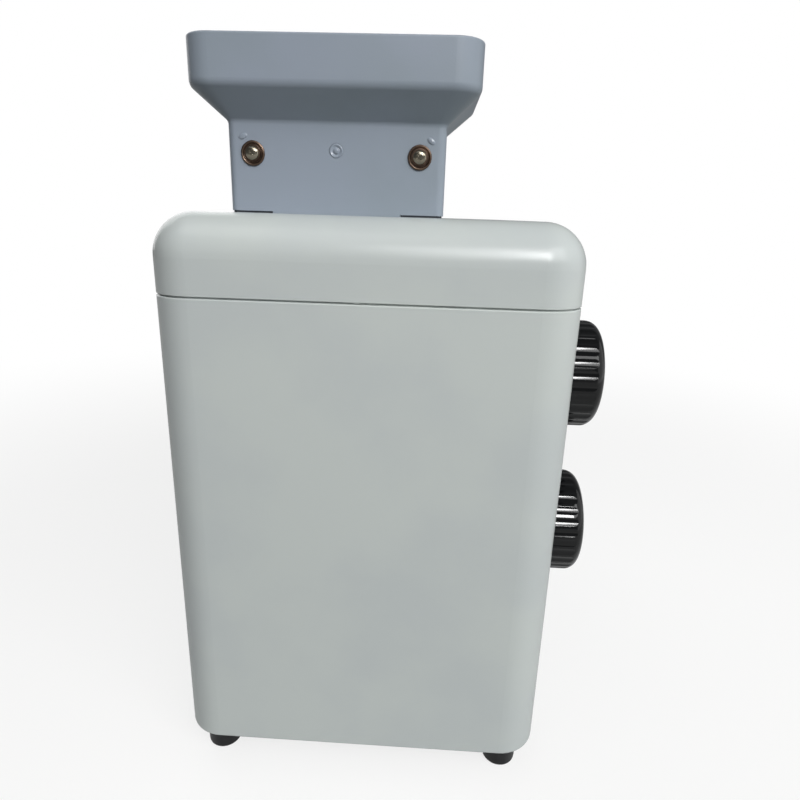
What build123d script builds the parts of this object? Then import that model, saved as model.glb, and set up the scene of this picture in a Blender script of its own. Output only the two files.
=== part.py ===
from build123d import *
from math import cos, pi, radians, sin, tan
import os

# Bench-top rice huller for seed and grain laboratories.
# Paddy runs from the grey hopper past a slide gate into the nip of two rubber rolls that turn at
# different speeds. Hulled grain drops through a separating chute: a fan draws the husks into
# one drawer and the brown rice falls into the other.
# +X is the operator's side, with the knobs and drawers. The broad face first seen looks to -Y.
# The origin is under the middle of the whole machine, on the surface that its feet stand on.

os.makedirs("parts", exist_ok=True)

# Driving dimensions of the casing, in millimetres
body_width = 200.0
body_depth = 300.0
body_height = 248.4
cover_height = 37.5
foot_height = 16.0
casing_wall = 3.0
corner_radius = 21.0
cover_edge_radius = 20.0

# Driving dimensions of the hopper
neck_width = 104.8
neck_depth = 50.0
neck_height = 41.4
flare_height = 13.4
rim_height = 20.2
rim_overhang = 15.0
hopper_wall = 2.6

# Driving dimensions of the rolls and of what is set out from them
roll_diameter = 50.0
roll_length = 45.0
roll_gap = 1.0
nip_offset = 18.0
roll_line = 67.0
roll_drop = 43.4
fan_height_share = 0.4581
fan_inset = 66.0
knob_diameter = 59.0
knob_reach = 22.8
inlet_reach = 2.0
base_thickness = 2.5
plate_thickness = 4.0
bay_depth = 46.0

# Clearances and overruns
slide_gap = 0.3
turn_gap = 0.05
seat_gap = 0.02
overrun = 2.0

# Where the casing stands
mid_x = -knob_reach / 2
mid_y = -inlet_reach / 2
side_x = mid_x + body_width / 2
front_y = mid_y - body_depth / 2
rear_y = mid_y + body_depth / 2
floor_z = foot_height
deck_z = floor_z + casing_wall + base_thickness
seam_z = floor_z + body_height
cover_z = seam_z + cover_height

# Where the rolls, the fan and the knobs turn
nip_x = mid_x - nip_offset
fast_x = nip_x - (roll_diameter + roll_gap) / 2
slow_x = nip_x + (roll_diameter + roll_gap) / 2
roll_y = front_y + roll_line
axis_z = seam_z - roll_drop
fan_x = side_x - fan_inset
fan_height = fan_height_share * body_height
fan_z = floor_z + fan_height

# The three chassis plates stand across the machine, front to back
roll_side_gap = 3.2
arm_thickness = 8.0
half_frame = roll_length / 2 + roll_side_gap + arm_thickness + slide_gap
front_inner_y = roll_y - half_frame
mid_inner_y = roll_y + half_frame
bay_y = mid_inner_y + plate_thickness
motor_plate_y = bay_y + bay_depth
motor_y = motor_plate_y + plate_thickness


def level(z):
    """A plane across the casing at height z, centred on the casing."""
    return Plane((mid_x, mid_y, z))


def hopper_level(z):
    """A plane across the hopper at height z, centred over the nip."""
    return Plane((nip_x, roll_y, z))


def across(y):
    """An upright plane at depth y that faces the front, with x and z as its own axes."""
    return Plane.XZ.offset(-y)


def along(x):
    """An upright plane at x that faces the operator's side, with y and z as its own axes."""
    return Plane.YZ.offset(x)


def turned_along_y(steps, x, z):
    """A bar turned about an axis along Y, from steps of (start, end, radius)."""
    with BuildPart() as bar:
        for start, end, radius in steps:
            with BuildSketch(across(start)):
                with Locations((x, z)):
                    Circle(radius)
            extrude(amount=start - end)
    return bar


def turned_along_x(steps, y, z):
    """A bar turned about an axis along X, from steps of (start, end, radius)."""
    with BuildPart() as bar:
        for start, end, radius in steps:
            with BuildSketch(along(start)):
                with Locations((y, z)):
                    Circle(radius)
            extrude(amount=end - start)
    return bar


# Openings in the casing
knob_hole_radius = 6.5
drawer_height = 44.0
drawer_gap = 0.5
drawer_run_gap = 0.2
panel_overlap = 2.0
front_panel_height = drawer_height + panel_overlap
rice_drawer_width = mid_inner_y - front_inner_y - 2 * drawer_gap
husk_drawer_width = bay_depth - 2 * drawer_gap
drawer_z = deck_z + drawer_run_gap
drawers = (
    ((front_inner_y + mid_inner_y) / 2, rice_drawer_width),
    (bay_y + bay_depth / 2, husk_drawer_width),
)
switch_setback = 200.0
switch_y = front_y + switch_setback
switch_z = axis_z
switch_cut_height = 27.0
switch_cut_width = 19.0
inlet_share = 0.3
inlet_rise = 45.0
inlet_x = mid_x - inlet_share * body_width
inlet_z = floor_z + inlet_rise
inlet_cut_width = 28.0
inlet_cut_height = 21.0
fuse_offset = 15.0
fuse_x = mid_x - fuse_offset
fuse_radius = 6.0
inlet_depth = 24.0
vent_length = 62.0
vent_height = 4.0
vent_spacing = 9.0
vent_column_spacing = 76.0
vent_drop = 40.0
vent_rows = 9
vent_z = axis_z - vent_drop
seam_bevel = 0.5
bottom_edge_radius = 1.5

# Feet under the four corners
foot_radius = 10.0
foot_taper = 0.8
foot_edge_radius = 2.0
foot_inset_x = 18.5
foot_inset_y = 16.0
stud_radius = 2.5
stud_embed = 9.0
stud_head_radius = 5.0
stud_head_height = 2.0
nut_flats = 8.0
nut_height = 4.0
foot_spots = [
    (mid_x + side * (body_width / 2 - foot_inset_x), mid_y + end * (body_depth / 2 - foot_inset_y))
    for side in (-1, 1)
    for end in (-1, 1)
]

# Moulded casing: an open tub with a floor
with BuildPart() as body_shell:
    with BuildSketch(level(floor_z)):
        RectangleRounded(body_width, body_depth, corner_radius)
    extrude(amount=body_height)
    fillet(body_shell.faces().sort_by(Axis.Z)[0].edges(), bottom_edge_radius)
    offset(amount=-casing_wall, openings=body_shell.faces().sort_by(Axis.Z)[-1])
    chamfer(body_shell.edges().group_by(Axis.Z)[-1].sort_by(SortBy.LENGTH)[-8:], seam_bevel)
    with BuildSketch(along(side_x - casing_wall - overrun)):
        with Locations((roll_y, axis_z), (roll_y, fan_z)):
            Circle(knob_hole_radius)
        with Locations((switch_y, switch_z)):
            Rectangle(switch_cut_width, switch_cut_height)
        for drawer_y, drawer_width in drawers:
            with Locations((drawer_y, drawer_z - drawer_gap)):
                Rectangle(
                    drawer_width + 2 * drawer_gap,
                    front_panel_height + 2 * drawer_gap,
                    align=(Align.CENTER, Align.MIN),
                )
    extrude(amount=casing_wall + 2 * overrun, mode=Mode.SUBTRACT)
    with BuildSketch(across(rear_y - casing_wall - overrun)):
        with Locations((inlet_x, inlet_z)):
            Rectangle(inlet_cut_width, inlet_cut_height)
        with Locations((fuse_x, inlet_z)):
            Circle(fuse_radius)
        with Locations((mid_x, vent_z)):
            with GridLocations(vent_column_spacing, vent_spacing, 2, vent_rows):
                SlotOverall(vent_length, vent_height)
    extrude(amount=-(casing_wall + 2 * overrun), mode=Mode.SUBTRACT)
    with BuildSketch(Plane.XY.offset(floor_z - overrun)):
        with Locations(*foot_spots):
            Circle(stud_radius + turn_gap)
    extrude(amount=casing_wall + 2 * overrun, mode=Mode.SUBTRACT)

body_shell.part.label = "body_shell"
export_step(body_shell.part, "parts/body_shell.step")

# Cover: a rounded lid with a lip that drops into the tub
lip_gap = 0.35
lip_thickness = 2.2
lip_depth = 6.0
lip_root = 4.0
shadow_gap_height = 0.9
shadow_gap_depth = 1.3
collar_gap = 0.3
inner_width = body_width - 2 * casing_wall
inner_depth = body_depth - 2 * casing_wall
inner_radius = corner_radius - casing_wall
mouth_width = neck_width - 2 * hopper_wall
mouth_depth = neck_depth - 2 * hopper_wall
neck_corner_radius = 4.0
mouth_radius = neck_corner_radius - hopper_wall

with BuildPart() as top_cover:
    with BuildSketch(level(seam_z)):
        RectangleRounded(body_width, body_depth, corner_radius)
    extrude(amount=cover_height)
    fillet(top_cover.faces().sort_by(Axis.Z)[-1].edges(), cover_edge_radius)
    offset(amount=-casing_wall, openings=top_cover.faces().sort_by(Axis.Z)[0])
    with BuildSketch(level(seam_z)):
        RectangleRounded(inner_width, inner_depth, inner_radius)
        RectangleRounded(
            inner_width - 2 * (lip_gap + lip_thickness),
            inner_depth - 2 * (lip_gap + lip_thickness),
            inner_radius - lip_gap - lip_thickness,
            mode=Mode.SUBTRACT,
        )
    extrude(amount=lip_root)
    with BuildSketch(level(seam_z)):
        RectangleRounded(
            inner_width - 2 * lip_gap, inner_depth - 2 * lip_gap, inner_radius - lip_gap
        )
        RectangleRounded(
            inner_width - 2 * (lip_gap + lip_thickness),
            inner_depth - 2 * (lip_gap + lip_thickness),
            inner_radius - lip_gap - lip_thickness,
            mode=Mode.SUBTRACT,
        )
    extrude(amount=-lip_depth)
    with BuildSketch(level(seam_z)):
        RectangleRounded(body_width + 2 * overrun, body_depth + 2 * overrun, corner_radius)
        RectangleRounded(
            body_width - 2 * shadow_gap_depth,
            body_depth - 2 * shadow_gap_depth,
            corner_radius - shadow_gap_depth,
            mode=Mode.SUBTRACT,
        )
    extrude(amount=shadow_gap_height, mode=Mode.SUBTRACT)
    with BuildSketch(hopper_level(cover_z - casing_wall - overrun)):
        RectangleRounded(mouth_width, mouth_depth, mouth_radius)
    extrude(amount=casing_wall + 2 * overrun, mode=Mode.SUBTRACT)

top_cover.part.label = "top_cover"
export_step(top_cover.part, "parts/top_cover.step")

# Hopper: a neck that stands on the cover, a flare and a deep rim, all one thin-walled moulding
neck_top_z = cover_z + neck_height
rim_z = neck_top_z + flare_height
rim_width = neck_width + 2 * rim_overhang
rim_depth = neck_depth + 2 * rim_overhang
rim_corner_radius = 13.0
rim_lower_radius = 4.5
rim_lip_radius = 0.9
flare_root_radius = 3.0
neck_screw_rise = 27.2
neck_screw_spacing = 80.0
neck_screw_radius = 2.1
relief_length = 21.0
relief_height = 0.9
mould_mark_radius = 3.4
mould_mark_depth = 0.3
mould_mark_rise = 29.2
gate_rise = 6.0
gate_thickness = 1.5
gate_slot_gap = 0.4
gate_gap = 0.4
gate_z = cover_z + gate_rise
collar_width = mouth_width - 2 * collar_gap
collar_depth = mouth_depth - 2 * collar_gap
collar_radius = mouth_radius - collar_gap
funnel_wall = 1.5
funnel_width = collar_width - 2 * funnel_wall
funnel_depth = collar_depth - 2 * funnel_wall
gate_width = funnel_width - 2 * gate_gap
screw_spots = [
    (nip_x + side * neck_screw_spacing / 2, cover_z + neck_screw_rise) for side in (-1, 1)
]


with BuildPart() as hopper:
    for inset, change in ((0, Mode.ADD), (hopper_wall, Mode.SUBTRACT)):
        neck_size = (neck_width - 2 * inset, neck_depth - 2 * inset, neck_corner_radius - inset)
        rim_size = (rim_width - 2 * inset, rim_depth - 2 * inset, rim_corner_radius - inset)
        with BuildSketch(hopper_level(cover_z)):
            RectangleRounded(*neck_size)
        extrude(amount=neck_height, mode=change)
        with BuildSketch(hopper_level(neck_top_z)):
            RectangleRounded(*neck_size)
        with BuildSketch(hopper_level(rim_z)):
            RectangleRounded(*rim_size)
        loft(mode=change)
        with BuildSketch(hopper_level(rim_z)):
            RectangleRounded(*rim_size)
        extrude(amount=rim_height, mode=change)
        if change == Mode.ADD:
            fillet(hopper.edges().filter_by_position(Axis.Z, rim_z, rim_z), rim_lower_radius)
            fillet(
                hopper.edges().filter_by_position(Axis.Z, neck_top_z, neck_top_z), flare_root_radius
            )
    fillet(hopper.faces().sort_by(Axis.Z)[-1].edges(), rim_lip_radius)
    with BuildSketch(across(roll_y - neck_depth / 2 - overrun)):
        with Locations(*screw_spots):
            Circle(neck_screw_radius + turn_gap)
    extrude(amount=-(neck_depth + 2 * overrun), mode=Mode.SUBTRACT)
    with BuildSketch(across(roll_y - neck_depth / 2)):
        with Locations((nip_x, cover_z + mould_mark_rise)):
            Circle(mould_mark_radius)
    extrude(amount=-mould_mark_depth, mode=Mode.SUBTRACT)
    with BuildSketch(across(roll_y - neck_depth / 2 - overrun)):
        for side in (-1, 1):
            with Locations((nip_x + side * (neck_width - relief_length) / 2, cover_z)):
                Rectangle(relief_length, relief_height, align=(Align.CENTER, Align.MIN))
    extrude(amount=-(neck_depth + 2 * overrun), mode=Mode.SUBTRACT)
    with BuildSketch(across(roll_y)):
        with Locations((nip_x, gate_z + gate_thickness / 2)):
            Rectangle(gate_width + 2 * gate_slot_gap, gate_thickness + 2 * gate_slot_gap)
    extrude(amount=-neck_depth, mode=Mode.SUBTRACT)

hopper.part.label = "hopper"
export_step(hopper.part, "parts/hopper.step")

# Funnel: a sheet collar inside the neck, a flange under the cover and a throat over the nip
flange_margin = 9.0
flange_side_gap = 3.5
flange_thickness = 2.0
collar_rise = 34.0
throat_width = 8.0
throat_length = 40.0
throat_top_rise = 35.0
throat_bottom_rise = 19.0
ledge_width = 4.0
flange_reach = nip_x - (mid_x - body_width / 2) - cover_edge_radius - flange_side_gap
flange_z = cover_z - casing_wall - flange_thickness
throat_top_z = axis_z + throat_top_rise
throat_bottom_z = axis_z + throat_bottom_rise

with BuildPart() as feed_funnel:
    with BuildSketch(hopper_level(flange_z)):
        RectangleRounded(collar_width, collar_depth, collar_radius)
    extrude(amount=cover_z + collar_rise - flange_z)
    with BuildSketch(hopper_level(flange_z)):
        RectangleRounded(2 * flange_reach, collar_depth + 2 * flange_margin, flange_margin)
    extrude(amount=flange_thickness)
    with BuildSketch(hopper_level(flange_z)):
        Rectangle(collar_width, collar_depth)
    with BuildSketch(hopper_level(throat_top_z)):
        Rectangle(throat_width + 2 * funnel_wall, throat_length + 2 * funnel_wall)
    loft()
    with BuildSketch(hopper_level(throat_top_z)):
        Rectangle(throat_width + 2 * funnel_wall, throat_length + 2 * funnel_wall)
    extrude(amount=throat_bottom_z - throat_top_z)
    with BuildSketch(hopper_level(flange_z)):
        Rectangle(funnel_width, funnel_depth)
    extrude(amount=cover_z + collar_rise - flange_z, mode=Mode.SUBTRACT)
    with BuildSketch(hopper_level(flange_z)):
        Rectangle(funnel_width, funnel_depth)
    with BuildSketch(hopper_level(throat_top_z)):
        Rectangle(throat_width, throat_length)
    loft(mode=Mode.SUBTRACT)
    with BuildSketch(hopper_level(throat_top_z)):
        Rectangle(throat_width, throat_length)
    extrude(amount=throat_bottom_z - throat_top_z, mode=Mode.SUBTRACT)
    with BuildSketch(hopper_level(gate_z - slide_gap / 2)):
        for side in (-1, 1):
            with Locations((side * (funnel_width - ledge_width) / 2, 0)):
                Rectangle(ledge_width, funnel_depth)
    extrude(amount=-funnel_wall)
    with BuildSketch(across(roll_y)):
        with Locations((nip_x, gate_z + gate_thickness / 2)):
            Rectangle(gate_width + 2 * slide_gap, gate_thickness + 2 * gate_slot_gap)
    extrude(amount=-collar_depth, mode=Mode.SUBTRACT)
    with BuildSketch(across(roll_y - neck_depth)):
        with Locations(*screw_spots):
            Circle(neck_screw_radius + seat_gap)
    extrude(amount=-2 * neck_depth, mode=Mode.SUBTRACT)

feed_funnel.part.label = "feed_funnel"
export_step(feed_funnel.part, "parts/feed_funnel.step")

# Slide gate: shuts the funnel and draws out at the back of the neck
gate_handle_width = 62.0
gate_handle_reach = 14.0
gate_lip_height = 10.0
gate_front_y = roll_y - funnel_depth / 2 + gate_gap
gate_back_y = roll_y + neck_depth / 2 + gate_handle_reach

with BuildPart() as feed_gate:
    with BuildSketch(Plane.XY.offset(gate_z)):
        with Locations((nip_x, gate_front_y)):
            Rectangle(
                gate_width,
                roll_y + neck_depth / 2 - gate_front_y + gate_gap,
                align=(Align.CENTER, Align.MIN),
            )
            Rectangle(
                gate_handle_width, gate_back_y - gate_front_y, align=(Align.CENTER, Align.MIN)
            )
    extrude(amount=gate_thickness)
    with BuildSketch(across(gate_back_y)):
        with Locations((nip_x, gate_z)):
            Rectangle(
                gate_handle_width, gate_lip_height, align=(Align.CENTER, Align.MIN)
            )
    extrude(amount=gate_thickness)
    fillet(feed_gate.edges().filter_by(Axis.Y).group_by(Axis.Z)[-1], gate_thickness)

feed_gate.part.label = "feed_gate"
export_step(feed_gate.part, "parts/feed_gate.step")

# Screws and washers that hold the hopper to the funnel's collar
washer_radius = 5.7
washer_bore_radius = 2.2
washer_thickness = 1.0
screw_head_radius = 3.4
screw_head_height = 2.2
screw_length = 6.5
screw_dome_radius = 1.0
cross_width = 0.9
cross_depth = 1.0
neck_faces = ((roll_y - neck_depth / 2, -1), (roll_y + neck_depth / 2, 1))

with BuildPart() as hopper_washers:
    for face_y, outward in neck_faces:
        with BuildSketch(across(face_y)):
            with Locations(*screw_spots):
                Circle(washer_radius)
                Circle(washer_bore_radius, mode=Mode.SUBTRACT)
        extrude(amount=-outward * washer_thickness)

hopper_washers.part.label = "hopper_washers"
export_step(hopper_washers.part, "parts/hopper_washers.step")

with BuildPart() as hopper_screws:
    for face_y, outward in neck_faces:
        seat_y = face_y + outward * washer_thickness
        with BuildSketch(across(seat_y)):
            with Locations(*screw_spots):
                Circle(screw_head_radius)
        extrude(amount=-outward * screw_head_height)
        with BuildSketch(across(seat_y)):
            with Locations(*screw_spots):
                Circle(neck_screw_radius)
        extrude(amount=outward * screw_length)
    head_rims = hopper_screws.edges().filter_by(GeomType.CIRCLE).group_by(Axis.Y)
    fillet(head_rims[0], screw_dome_radius)
    fillet(
        hopper_screws.edges().filter_by(GeomType.CIRCLE).group_by(Axis.Y)[-1], screw_dome_radius
    )
    for face_y, outward in neck_faces:
        top_y = face_y + outward * (washer_thickness + screw_head_height)
        with BuildSketch(across(top_y)):
            with Locations(*screw_spots):
                Rectangle(screw_head_radius, cross_width)
                Rectangle(cross_width, screw_head_radius)
        extrude(amount=outward * cross_depth, mode=Mode.SUBTRACT)

hopper_screws.part.label = "hopper_screws"
export_step(hopper_screws.part, "parts/hopper_screws.step")

# Rubber feet, their studs and the nuts on the base plate
with BuildPart() as feet:
    with Locations(*foot_spots):
        Cone(
            foot_radius - foot_taper,
            foot_radius,
            foot_height,
            align=(Align.CENTER, Align.CENTER, Align.MIN),
        )
    fillet(feet.edges().group_by(Axis.Z)[0], foot_edge_radius)
    with BuildSketch(Plane.XY.offset(foot_height)):
        with Locations(*foot_spots):
            Circle(stud_radius + seat_gap)
    extrude(amount=-stud_embed, mode=Mode.SUBTRACT)
    with BuildSketch(Plane.XY.offset(foot_height - stud_embed)):
        with Locations(*foot_spots):
            Circle(stud_head_radius + seat_gap)
    extrude(amount=stud_head_height + seat_gap, mode=Mode.SUBTRACT)

feet.part.label = "feet"
export_step(feet.part, "parts/feet.step")

with BuildPart() as foot_studs:
    with BuildSketch(Plane.XY.offset(foot_height - stud_embed)):
        with Locations(*foot_spots):
            Circle(stud_radius)
    extrude(amount=deck_z + nut_height + stud_head_height - foot_height + stud_embed)
    with BuildSketch(Plane.XY.offset(foot_height - stud_embed)):
        with Locations(*foot_spots):
            Circle(stud_head_radius)
    extrude(amount=stud_head_height)

foot_studs.part.label = "foot_studs"
export_step(foot_studs.part, "parts/foot_studs.step")

with BuildPart() as foot_nuts:
    with BuildSketch(Plane.XY.offset(deck_z)):
        with Locations(*foot_spots):
            RegularPolygon(nut_flats / 2, 6, major_radius=False)
            Circle(stud_radius + turn_gap, mode=Mode.SUBTRACT)
    extrude(amount=nut_height)

foot_nuts.part.label = "foot_nuts"
export_step(foot_nuts.part, "parts/foot_nuts.step")

# Base plate on the floor of the tub, slotted for the tabs of the chassis plates
base_margin = 1.0
tab_width = 14.0
tab_spacing = 60.0
tab_gap = 0.1
tab_count = 3
plate_faces = (front_inner_y - plate_thickness, mid_inner_y, motor_plate_y)

with BuildPart() as base_plate:
    with BuildSketch(level(floor_z + casing_wall)):
        RectangleRounded(
            inner_width - 2 * base_margin, inner_depth - 2 * base_margin, inner_radius - base_margin
        )
    extrude(amount=base_thickness)
    with BuildSketch(Plane.XY.offset(floor_z + casing_wall - overrun)):
        with Locations(*foot_spots):
            Circle(stud_radius + turn_gap)
        for face_y in plate_faces:
            with Locations((mid_x, face_y + plate_thickness / 2)):
                with GridLocations(tab_spacing, 0, tab_count, 1):
                    Rectangle(tab_width + 2 * tab_gap, plate_thickness + 2 * tab_gap)
    extrude(amount=base_thickness + 2 * overrun, mode=Mode.SUBTRACT)

base_plate.part.label = "base_plate"
export_step(base_plate.part, "parts/base_plate.step")

# Chassis plates: steel, tied together by four rods
plate_side_gap = 10.0
plate_width = body_width - 2 * plate_side_gap
plate_top_drop = 10.0
plate_corner_radius = 8.0
shaft_radius = 4.97
bearing_radius = 11.0
bearing_width = 6.0
shaft_hole_radius = 8.0
rod_radius = 4.0
rod_inset_x = 6.0
rod_inset_z = 9.0
rod_nut_flats = 13.0
rod_nut_height = 5.0
rod_low_rise = 16.0
rod_low_z = drawer_z + front_panel_height + rod_low_rise
rod_high_z = seam_z - plate_top_drop - rod_inset_z
rod_spots = [
    (mid_x + side * (plate_width / 2 - rod_inset_x), z)
    for side in (-1, 1)
    for z in (rod_low_z, rod_high_z)
]
tongue_width = 26.0
tongue_height = 22.0
travel_in = 0.5
travel_out = 1.5
travel_spare = 0.4
eye_radius = 21.0
motor_radius = 44.0
motor_bolt_circle_radius = 38.0
motor_bolt_radius = 2.5
motor_spigot_radius = 15.0
side_plate_thickness = 4.0
side_screw_radius = 1.6
side_screw_depth = 10.0
side_screw_low_rise = 24.0
side_screw_drop = 20.0
carriage_reach = 36.5
bridge_thickness = 8.0
side_plate_inset = 28.0
side_plate_low_rise = 6.0
side_plate_top_rise = 28.0
bridge_x = slow_x + carriage_reach
side_plate_x = side_x - side_plate_inset
spring_space = side_plate_x - bridge_x
side_plate_low_z = drawer_z + front_panel_height + side_plate_low_rise
side_plate_top_z = axis_z + side_plate_top_rise
side_screw_spots = [
    (side_plate_x + side_plate_thickness / 2, side_plate_low_z + side_screw_low_rise),
    (side_plate_x + side_plate_thickness / 2, side_plate_top_z - side_screw_drop),
]


def chassis_plate(face_y, shaft_holes, slot, eye, motor, side_screws):
    """One upright plate with tabs, whose front face is at face_y."""
    with BuildPart() as plate:
        with BuildSketch(across(face_y)):
            with Locations((mid_x, deck_z)):
                Rectangle(
                    plate_width,
                    seam_z - plate_top_drop - deck_z,
                    align=(Align.CENTER, Align.MIN),
                )
        extrude(amount=-plate_thickness)
        fillet(plate.edges().filter_by(Axis.Y), plate_corner_radius)
        with BuildSketch(across(face_y)):
            with Locations((mid_x, deck_z)):
                with GridLocations(tab_spacing, 0, tab_count, 1):
                    Rectangle(tab_width, base_thickness, align=(Align.CENTER, Align.MAX))
        extrude(amount=-plate_thickness)
        with BuildSketch(across(face_y - overrun)):
            with Locations(*rod_spots):
                Circle(rod_radius + turn_gap)
            if shaft_holes:
                with Locations(*shaft_holes):
                    Circle(shaft_hole_radius)
            if slot:
                low_x = slow_x - tongue_width / 2 - travel_in - travel_spare
                high_x = slow_x + tongue_width / 2 + travel_out + travel_spare
                with Locations(((low_x + high_x) / 2, axis_z)):
                    Rectangle(high_x - low_x, tongue_height + slide_gap)
            if eye:
                with Locations((fan_x, fan_z)):
                    Circle(eye_radius)
            if motor:
                with Locations((fan_x, fan_z)):
                    Circle(motor_spigot_radius)
                    with PolarLocations(motor_bolt_circle_radius, 4, start_angle=45):
                        Circle(motor_bolt_radius + turn_gap)
            if side_screws:
                with Locations(*side_screw_spots):
                    Circle(side_screw_radius + turn_gap)
        extrude(amount=-(plate_thickness + 2 * overrun), mode=Mode.SUBTRACT)
    return plate


fast_spot = (fast_x, axis_z)
front_plate = chassis_plate(plate_faces[0], [fast_spot], True, False, False, True)
front_plate.part.label = "front_plate"
export_step(front_plate.part, "parts/front_plate.step")

mid_plate = chassis_plate(plate_faces[1], [fast_spot], True, True, False, True)
mid_plate.part.label = "mid_plate"
export_step(mid_plate.part, "parts/mid_plate.step")

motor_plate = chassis_plate(plate_faces[2], [fast_spot], False, False, True, False)
motor_plate.part.label = "motor_plate"
export_step(motor_plate.part, "parts/motor_plate.step")

rod_end = plate_thickness + rod_nut_height
rod_ends = (front_inner_y - rod_end - overrun, motor_plate_y + rod_end + overrun)
with BuildPart() as tie_rods:
    with BuildSketch(across(rod_ends[0])):
        with Locations(*rod_spots):
            Circle(rod_radius)
    extrude(amount=rod_ends[0] - rod_ends[1])

tie_rods.part.label = "tie_rods"
export_step(tie_rods.part, "parts/tie_rods.step")

# Nuts clamp each plate from both sides of the stack
with BuildPart() as tie_rod_nuts:
    for nut_y in (
        front_inner_y - plate_thickness - rod_nut_height,
        front_inner_y,
        mid_inner_y - rod_nut_height,
        bay_y,
        motor_plate_y - rod_nut_height,
        motor_y,
    ):
        with BuildSketch(across(nut_y)):
            with Locations(*rod_spots):
                RegularPolygon(rod_nut_flats / 2, 6, major_radius=False)
                Circle(rod_radius + turn_gap, mode=Mode.SUBTRACT)
        extrude(amount=-rod_nut_height)

tie_rod_nuts.part.label = "tie_rod_nuts"
export_step(tie_rod_nuts.part, "parts/tie_rod_nuts.step")

# Side plate: carries the inner ends of both knob shafts
bush_radius = 7.0
bush_flange_radius = 10.0
bush_flange_thickness = 2.0
spindle_radius = 4.0
knob_axes = ((roll_y, axis_z), (roll_y, fan_z))

with BuildPart() as side_plate:
    with BuildSketch(along(side_plate_x)):
        with Locations((front_inner_y, side_plate_low_z)):
            Rectangle(
                mid_inner_y - front_inner_y,
                side_plate_top_z - side_plate_low_z,
                align=(Align.MIN, Align.MIN),
            )
        with Locations(*knob_axes):
            Circle(bush_radius + seat_gap, mode=Mode.SUBTRACT)
    extrude(amount=side_plate_thickness)
    for face_y, inward in ((front_inner_y, -1), (mid_inner_y, 1)):
        with BuildSketch(across(face_y)):
            with Locations(*side_screw_spots):
                Circle(side_screw_radius + seat_gap)
        extrude(amount=inward * side_screw_depth, mode=Mode.SUBTRACT)

side_plate.part.label = "side_plate"
export_step(side_plate.part, "parts/side_plate.step")

side_screw_head_radius = 3.2
side_screw_head_height = 2.4
side_screw_grip = 9.0
with BuildPart() as side_plate_screws:
    for seat_y, inward in ((front_inner_y - plate_thickness, -1), (bay_y, 1)):
        with BuildSketch(across(seat_y)):
            with Locations(*side_screw_spots):
                Circle(side_screw_radius)
        extrude(amount=inward * (plate_thickness + side_screw_grip))
        with BuildSketch(across(seat_y)):
            with Locations(*side_screw_spots):
                Circle(side_screw_head_radius)
        extrude(amount=-inward * side_screw_head_height)

side_plate_screws.part.label = "side_plate_screws"
export_step(side_plate_screws.part, "parts/side_plate_screws.step")

with BuildPart() as knob_bushes:
    with BuildSketch(along(side_plate_x)):
        with Locations(*knob_axes):
            Circle(bush_radius)
            Circle(spindle_radius + turn_gap, mode=Mode.SUBTRACT)
    extrude(amount=side_plate_thickness)
    with BuildSketch(along(side_plate_x + side_plate_thickness)):
        with Locations(*knob_axes):
            Circle(bush_flange_radius)
            Circle(spindle_radius + turn_gap, mode=Mode.SUBTRACT)
    extrude(amount=bush_flange_thickness)

knob_bushes.part.label = "knob_bushes"
export_step(knob_bushes.part, "parts/knob_bushes.step")

# Bearings and their housings for the fast roll's shaft
housing_radius = 17.0
housing_depth = 9.0
groove_depth = 0.6
groove_inner_radius = 6.8
groove_outer_radius = 9.2
housing_faces = ((front_inner_y, 1), (mid_inner_y, -1), (motor_plate_y, -1))

with BuildPart() as bearing_housings:
    for face_y, inward in housing_faces:
        with BuildSketch(across(face_y)):
            with Locations(fast_spot):
                Circle(housing_radius)
        extrude(amount=-inward * housing_depth)
    for face_y, inward in housing_faces:
        with BuildSketch(across(face_y + inward * (housing_depth - bearing_width))):
            with Locations(fast_spot):
                Circle(bearing_radius + seat_gap)
        extrude(amount=-inward * bearing_width, mode=Mode.SUBTRACT)
        with BuildSketch(across(face_y)):
            with Locations(fast_spot):
                Circle(shaft_hole_radius)
        extrude(amount=-inward * housing_depth, mode=Mode.SUBTRACT)

bearing_housings.part.label = "bearing_housings"
export_step(bearing_housings.part, "parts/bearing_housings.step")


def ball_bearings(spots, x):
    """Shielded bearings on one axis, from the y of each front face."""
    with BuildPart() as rings:
        for start_y in spots:
            with BuildSketch(across(start_y)):
                with Locations((x, axis_z)):
                    Circle(bearing_radius)
                    Circle(shaft_radius + turn_gap, mode=Mode.SUBTRACT)
            extrude(amount=-bearing_width)
        for start_y in spots:
            for face_y, inward in ((start_y, -1), (start_y + bearing_width, 1)):
                with BuildSketch(across(face_y)):
                    with Locations((x, axis_z)):
                        Circle(groove_outer_radius)
                        Circle(groove_inner_radius, mode=Mode.SUBTRACT)
                extrude(amount=inward * groove_depth, mode=Mode.SUBTRACT)
    return rings


fast_bearings = ball_bearings(
    (
        front_inner_y + housing_depth - bearing_width,
        mid_inner_y - housing_depth,
        motor_plate_y - housing_depth,
    ),
    fast_x,
)
fast_bearings.part.label = "fast_bearings"
export_step(fast_bearings.part, "parts/fast_bearings.step")

# Fast roll: shaft, core and rubber sleeve
shaft_end_gap = 2.0
core_radius = 18.0
core_recess_depth = 3.0
core_recess_inner_radius = 9.0
core_recess_outer_radius = 15.0
sleeve_edge_bevel = 0.6
roll_start_y = roll_y - roll_length / 2

fast_shaft = turned_along_y(
    [(front_inner_y - shaft_end_gap, motor_plate_y + shaft_end_gap, shaft_radius)], fast_x, axis_z
)
fast_shaft.part.label = "fast_shaft"
export_step(fast_shaft.part, "parts/fast_shaft.step")


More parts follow.
